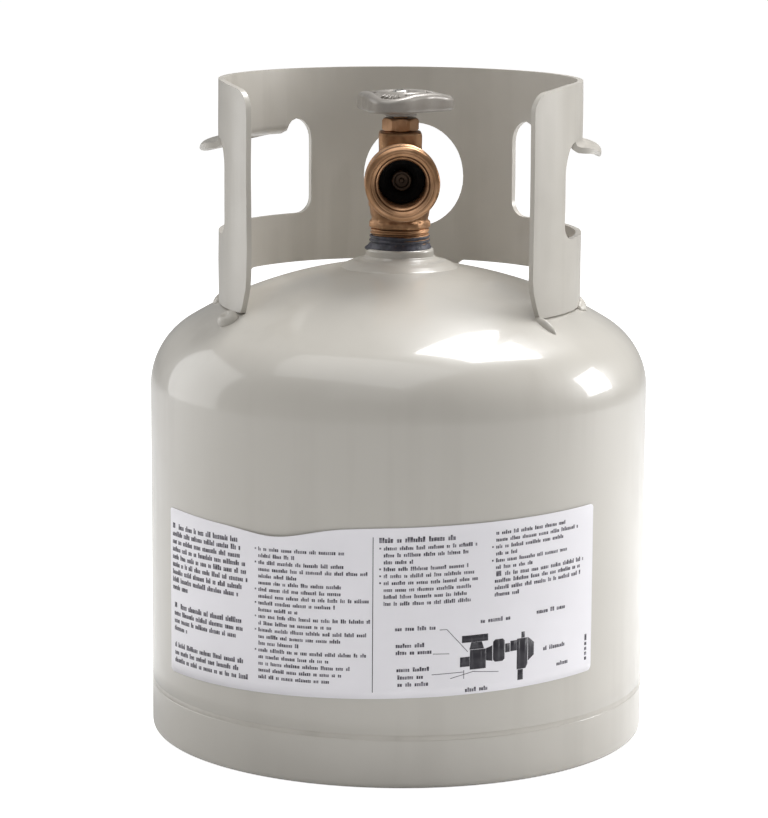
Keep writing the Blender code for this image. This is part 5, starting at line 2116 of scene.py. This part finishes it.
@dataclass
class Handwheel:
    """Rounded triangular cast wheel with a raised rim, hub and turning arrows, and its screw and washer."""

    corner_r: float = 24.5
    side_r: float = 17.7
    droop: float = 2.0
    corner_bearing: float = -18.0
    low_z: float = 283.0
    top_z: float = 291.6
    steps: int = 180

    def tip_share(self, angle: float) -> float:
        """1 at the wheel's corners and 0 between them, at an angle in radians from +X."""
        return 0.5 + 0.5 * math.cos(3.0 * (angle - math.radians(self.corner_bearing - 90.0)))

    def drooped(self, point: Vector) -> Vector:
        """Lower a point of the top towards the wheel's corners.

        Args:
            point: a point in metres.

        Returns:
            The lowered point.
        """
        if point.z < 286.0 * MM:
            return point
        out = min(1.0, max(0.0, (math.hypot(point.x, point.y) / MM - 11.0) / 9.0))
        fall = self.droop * out * self.tip_share(math.atan2(point.y, point.x)) ** 1.5
        return point - Vector((0.0, 0.0, fall * MM))

    def lobes(self, inset: float, share: float = 1.0, radius: float = 0.0) -> Callable[[float], float]:
        """Radius of the wheel's outline moved inwards, blended with a plain circle.

        Args:
            inset: how far inwards, in millimetres.
            share: 1 for the wheel's outline, 0 for a circle.
            radius: the circle's radius in millimetres.

        Returns:
            The radius as a function of the angle in radians.
        """
        def reach(angle: float) -> float:
            """Radius at an angle."""
            outline = self.side_r + (self.corner_r - self.side_r) * self.tip_share(angle) ** 1.5 - inset
            return share * outline + (1.0 - share) * radius

        return reach

    def build_wheel(self) -> None:
        """The casting: hollow below, with a bevelled rim, a dished top and a hub."""
        low, top, lobes = self.low_z, self.top_z, self.lobes
        levels = [(280.6, 3.1), (280.6, 6.8), (281.0, 7.2)]
        levels += [(286.8, 7.4), (287.6, 8.2), (287.8, lobes(4.6))]
        levels += [(287.2, lobes(4.0)), (283.6, lobes(3.3)), (low, lobes(2.9)), (low, lobes(1.1))]
        levels += [(low + 0.35, lobes(0.45)), (low + 1.0, lobes(0.1)), (low + 3.0, lobes(0.0))]
        levels += [(top - 2.6, lobes(0.0)), (top - 1.7, lobes(0.15)), (top - 0.9, lobes(0.6))]
        levels += [(top - 0.3, lobes(1.3)), (top, lobes(2.3)), (top, lobes(3.6)), (top - 0.25, lobes(4.3))]
        levels += [(top - 0.9, lobes(5.0)), (top - 1.1, lobes(6.0)), (top - 1.1, lobes(0.0, 0.35, 11.4))]
        levels += [(top - 0.9, 11.0), (top - 0.1, 10.4), (top + 0.2, 9.6)]
        levels += [(top + 0.2, 7.6), (top - 0.1, 6.8), (288.6, 6.4)]
        levels += [(288.5, 3.3), (288.1, 3.1)]
        rings = [[self.drooped(point) for point in round_ring(radius, z, self.steps)] for z, radius in levels]
        wheel = lofted("cast_handwheel", rings, looped=True)
        rippled(wheel, 0.12, 3.0)
        hand_over(even_normals(wheel), CAST, Slot.CAST_GREY, Body.HANDWHEEL, "handwheel")

    def raised(self, bm: Surface, corners: Sequence[Vector], low: float, high: float) -> None:
        """Add a raised flat shape with sloping sides between two heights.

        Args:
            bm: the surface that it joins.
            corners: corners (x, y) in millimetres, going round.
            low: lower height in millimetres.
            high: upper height.
        """
        middle = sum(corners, Vector((0.0, 0.0))) / len(corners)
        layers = []
        for z, shrink in ((low, 1.12), (high - 0.15, 1.0), (high, 0.86)):
            points = [Vector((*(middle + (c - middle) * shrink), z)) * MM for c in corners]
            layers.append([bm.verts.new(self.drooped(point)) for point in points])
        bm.faces.new(layers[0][::-1])
        bm.faces.new(layers[-1])
        for under, over in zip(layers, layers[1:]):
            for i in range(len(corners)):
                j = (i + 1) % len(corners)
                bm.faces.new((under[i], under[j], over[j], over[i]))

    def build_relief(self) -> None:
        """Ribs near each corner and two curved turning arrows between them."""
        bm = bmesh.new()
        floor, top = self.top_z - 1.3, self.top_z + 0.1
        for lobe in range(3):
            bearing = self.corner_bearing + 120.0 * lobe
            for offset in (-14.0, -7.0, 0.0, 7.0, 14.0):
                inner, outer = 13.2, 18.0 - abs(offset) * 0.10
                half = 0.42
                way = polar(1.0, bearing + offset, 0.0).xy.normalized()
                across = Vector((-way.y, way.x))
                corners = [way * inner - across * half, way * outer - across * half]
                corners += [way * outer + across * half, way * inner + across * half]
                self.raised(bm, corners, floor, top)
        for start, end in ((26.0, 58.0), (146.0, 178.0)):
            inner, outer, count = 12.6, 13.8, 6
            bearings = [self.corner_bearing + start + (end - start) * k / count for k in range(count + 1)]
            for first, second in zip(bearings, bearings[1:]):
                corners = [
                    polar(r, b, 0.0).xy / MM
                    for r, b in ((inner, first), (outer, first), (outer, second), (inner, second))
                ]
                self.raised(bm, corners, floor, top - 0.3)
            tip = bearings[-1]
            head = [polar(r, b, 0.0).xy / MM for r, b in ((11.8, tip), (14.6, tip), (13.2, tip + 9.0))]
            self.raised(bm, head, floor, top - 0.3)
        mesh = closed_mesh("handwheel_relief", bm)
        hand_over(linked("handwheel_relief", mesh), CAST, Slot.CAST_GREY, Body.HANDWHEEL)

    def build_screw(self) -> None:
        """Washer and domed screw with a cross recess."""
        washer = [(2.2, 288.8, 0.1), (5.6, 288.8, 0.2), (5.6, 289.6, 0.3), (2.2, 289.6, 0.1)]
        disc = lathe("wheel_washer", washer, 56)
        hand_over(even_normals(disc), ZINC, Slot.ZINC_STEEL, Body.HANDWHEEL, "handwheel_washer")
        shape = [
            (0.0, 281.2), (1.8, 281.2, 0.3), (1.8, 289.9), (3.9, 289.9, 0.3), (3.9, 291.0, 0.5),
            (3.0, 292.2, 1.2),
        ]
        shape.append((0.0, 292.7))
        screw = lathe("wheel_screw", shape, 56)
        settle(screw)
        for turn in (20.0, 110.0):
            bar = box_tool("recess_tool", (-2.0, -0.42, 291.2), (2.0, 0.42, 294.0))
            bar.data.transform(Matrix.Rotation(math.radians(turn), 4, "Z"))
            carved(screw, bar)
        bevelled(screw, 0.1, 2, 40.0)
        hand_over(even_normals(screw), ZINC, Slot.ZINC_STEEL, Body.HANDWHEEL, "handwheel_screw")

    def build(self) -> None:
        """Make the wheel and what holds it."""
        self.build_wheel()
        self.build_relief()
        self.build_screw()


# Frame nodes that stay


@dataclass
class InnerParts:
    """CAD nodes that keep their own shape: they only get their finish."""

    nodes: dict[str, Piece]
    subparts: list[dict]

    def build(self) -> None:
        """Dress each node by its slot in the record."""
        for entry in self.subparts:
            finish = SLOT_FINISHES[Slot(entry["material_slot"])]
            dress(self.nodes[entry["node"]], finish)
            LOG.info("%s dressed in %s", entry["node"], finish.name)


# Studio


@dataclass(frozen=True)
class SoftBox:
    """A rectangular studio light, at a place and aimed at the tank."""

    name: str
    at: tuple[float, float, float]
    aim: tuple[float, float, float]
    size: tuple[float, float]
    power: float
    colour: Colour = (1.0, 1.0, 1.0)

    def build(self) -> None:
        """Make the light."""
        data = bpy.data.lights.new(self.name, "AREA")
        data.shape = "RECTANGLE"
        data.size, data.size_y = self.size
        data.energy = self.power
        data.color = self.colour
        light = bpy.data.objects.new(self.name, data)
        light.location = self.at
        light.rotation_euler = (Vector(self.aim) - Vector(self.at)).to_track_quat("-Z", "Y").to_euler()
        bpy.context.scene.collection.objects.link(light)


@dataclass
class Studio:
    """Pale floor, soft lights and the camera."""

    camera_at: tuple[float, float, float] = (-6.6, -1416.2, 398.1)
    camera_aim: tuple[float, float, float] = (-6.618, 0.0, 146.388)
    turn: float = -1.4
    roll: float = 0.358
    lens: float = 138.24
    world_strength: float = 0.27
    floor_colour: Colour = (0.86, 0.86, 0.86)
    floor_glow: float = 0.8
    floor_half: float = 40.0
    floor_roughness: float = 0.9
    floor_specular: float = 0.1
    sensor_width: float = 36.0
    clip: tuple[float, float] = (0.05, 200.0)
    boxes: tuple[SoftBox, ...] = (
        SoftBox("key_box", (0.42, 0.30, 1.26), (0.04, -0.09, 0.187), (0.52, 0.50), 14.0),
        SoftBox("right_box", (1.01, 0.176, 0.463), (0.084, -0.072, 0.171), (0.34, 0.40), 6.0),
        SoftBox("left_rim_box", (-1.25, 0.45, 0.45), (0.0, 0.0, 0.14), (1.0, 1.2), 7.0),
        SoftBox("front_fill_box", (-0.5, -1.6, 1.5), (0.0, 0.0, 0.15), (1.4, 1.0), 1.7),
        SoftBox("overhead_box", (-0.35, -0.45, 1.75), (0.0, 0.0, 0.2), (1.8, 1.2), 11.0),
    )

    def build_floor(self) -> None:
        """A wide plain floor."""
        bm = bmesh.new()
        bmesh.ops.create_grid(bm, x_segments=2, y_segments=2, size=self.floor_half)
        mesh = bpy.data.meshes.new("floor")
        bm.to_mesh(mesh)
        bm.free()
        floor = linked("floor", mesh)
        material = bpy.data.materials.new("pale_floor")
        material.use_nodes = True
        shader = material.node_tree.nodes["Principled BSDF"]
        shader.inputs["Base Color"].default_value = opaque(self.floor_colour)
        shader.inputs["Roughness"].default_value = self.floor_roughness
        shader.inputs["Specular IOR Level"].default_value = self.floor_specular
        shader.inputs["Emission Color"].default_value = (1.0, 1.0, 1.0, 1.0)
        graph = Graph(material.node_tree)
        seen = graph.add("ShaderNodeLightPath").outputs["Is Camera Ray"]
        glow = graph.add("ShaderNodeMath", {0: seen, 1: self.floor_glow}, operation="MULTIPLY")
        material.node_tree.links.new(glow.outputs[0], shader.inputs["Emission Strength"])
        mesh.materials.append(material)

    def build_camera(self) -> None:
        """Camera in front of the outlet, a little above the tank."""
        turn = Matrix.Rotation(math.radians(self.turn), 3, "Z")
        at = turn @ (Vector(self.camera_at) * MM)
        forward = (turn @ (Vector(self.camera_aim) * MM) - at).normalized()
        level = forward.cross(Vector((0.0, 0.0, 1.0))).normalized()
        upright = level.cross(forward)
        roll = math.radians(self.roll)
        right = level * math.cos(roll) + upright * math.sin(roll)
        up = right.cross(forward)
        data = bpy.data.cameras.new("camera")
        data.lens = self.lens
        data.sensor_width = self.sensor_width
        data.clip_start, data.clip_end = self.clip
        camera = bpy.data.objects.new("camera", data)
        axes = Matrix((right, up, -forward)).transposed().to_4x4()
        camera.matrix_world = Matrix.Translation(at) @ axes
        bpy.context.scene.collection.objects.link(camera)
        bpy.context.scene.camera = camera

    def build_world(self) -> None:
        """Even pale surroundings."""
        world = bpy.data.worlds.new("surroundings")
        world.use_nodes = True
        shader = world.node_tree.nodes["Background"]
        shader.inputs["Color"].default_value = (1.0, 0.995, 0.985, 1.0)
        shader.inputs["Strength"].default_value = self.world_strength
        bpy.context.scene.world = world

    def build(self) -> None:
        """Make the floor, the lights and the camera."""
        self.build_floor()
        self.build_camera()
        self.build_world()
        for box in self.boxes:
            box.build()
        bpy.context.scene.view_settings.view_transform = "Standard"


def main() -> None:
    """Build every sub-assembly in order."""
    logging.basicConfig(level=logging.INFO, format="%(message)s")
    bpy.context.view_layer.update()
    InnerParts(frame["nodes"], frame["record"]["subparts"]).build()
    vessel = Vessel()
    vessel.build()
    GuardCollar(vessel).build()
    WallLabel().build()
    TankValve().build()
    for coil in COILS:
        coil.build()
    Handwheel().build()
    Studio().build()


if __name__ == "__main__":
    main()
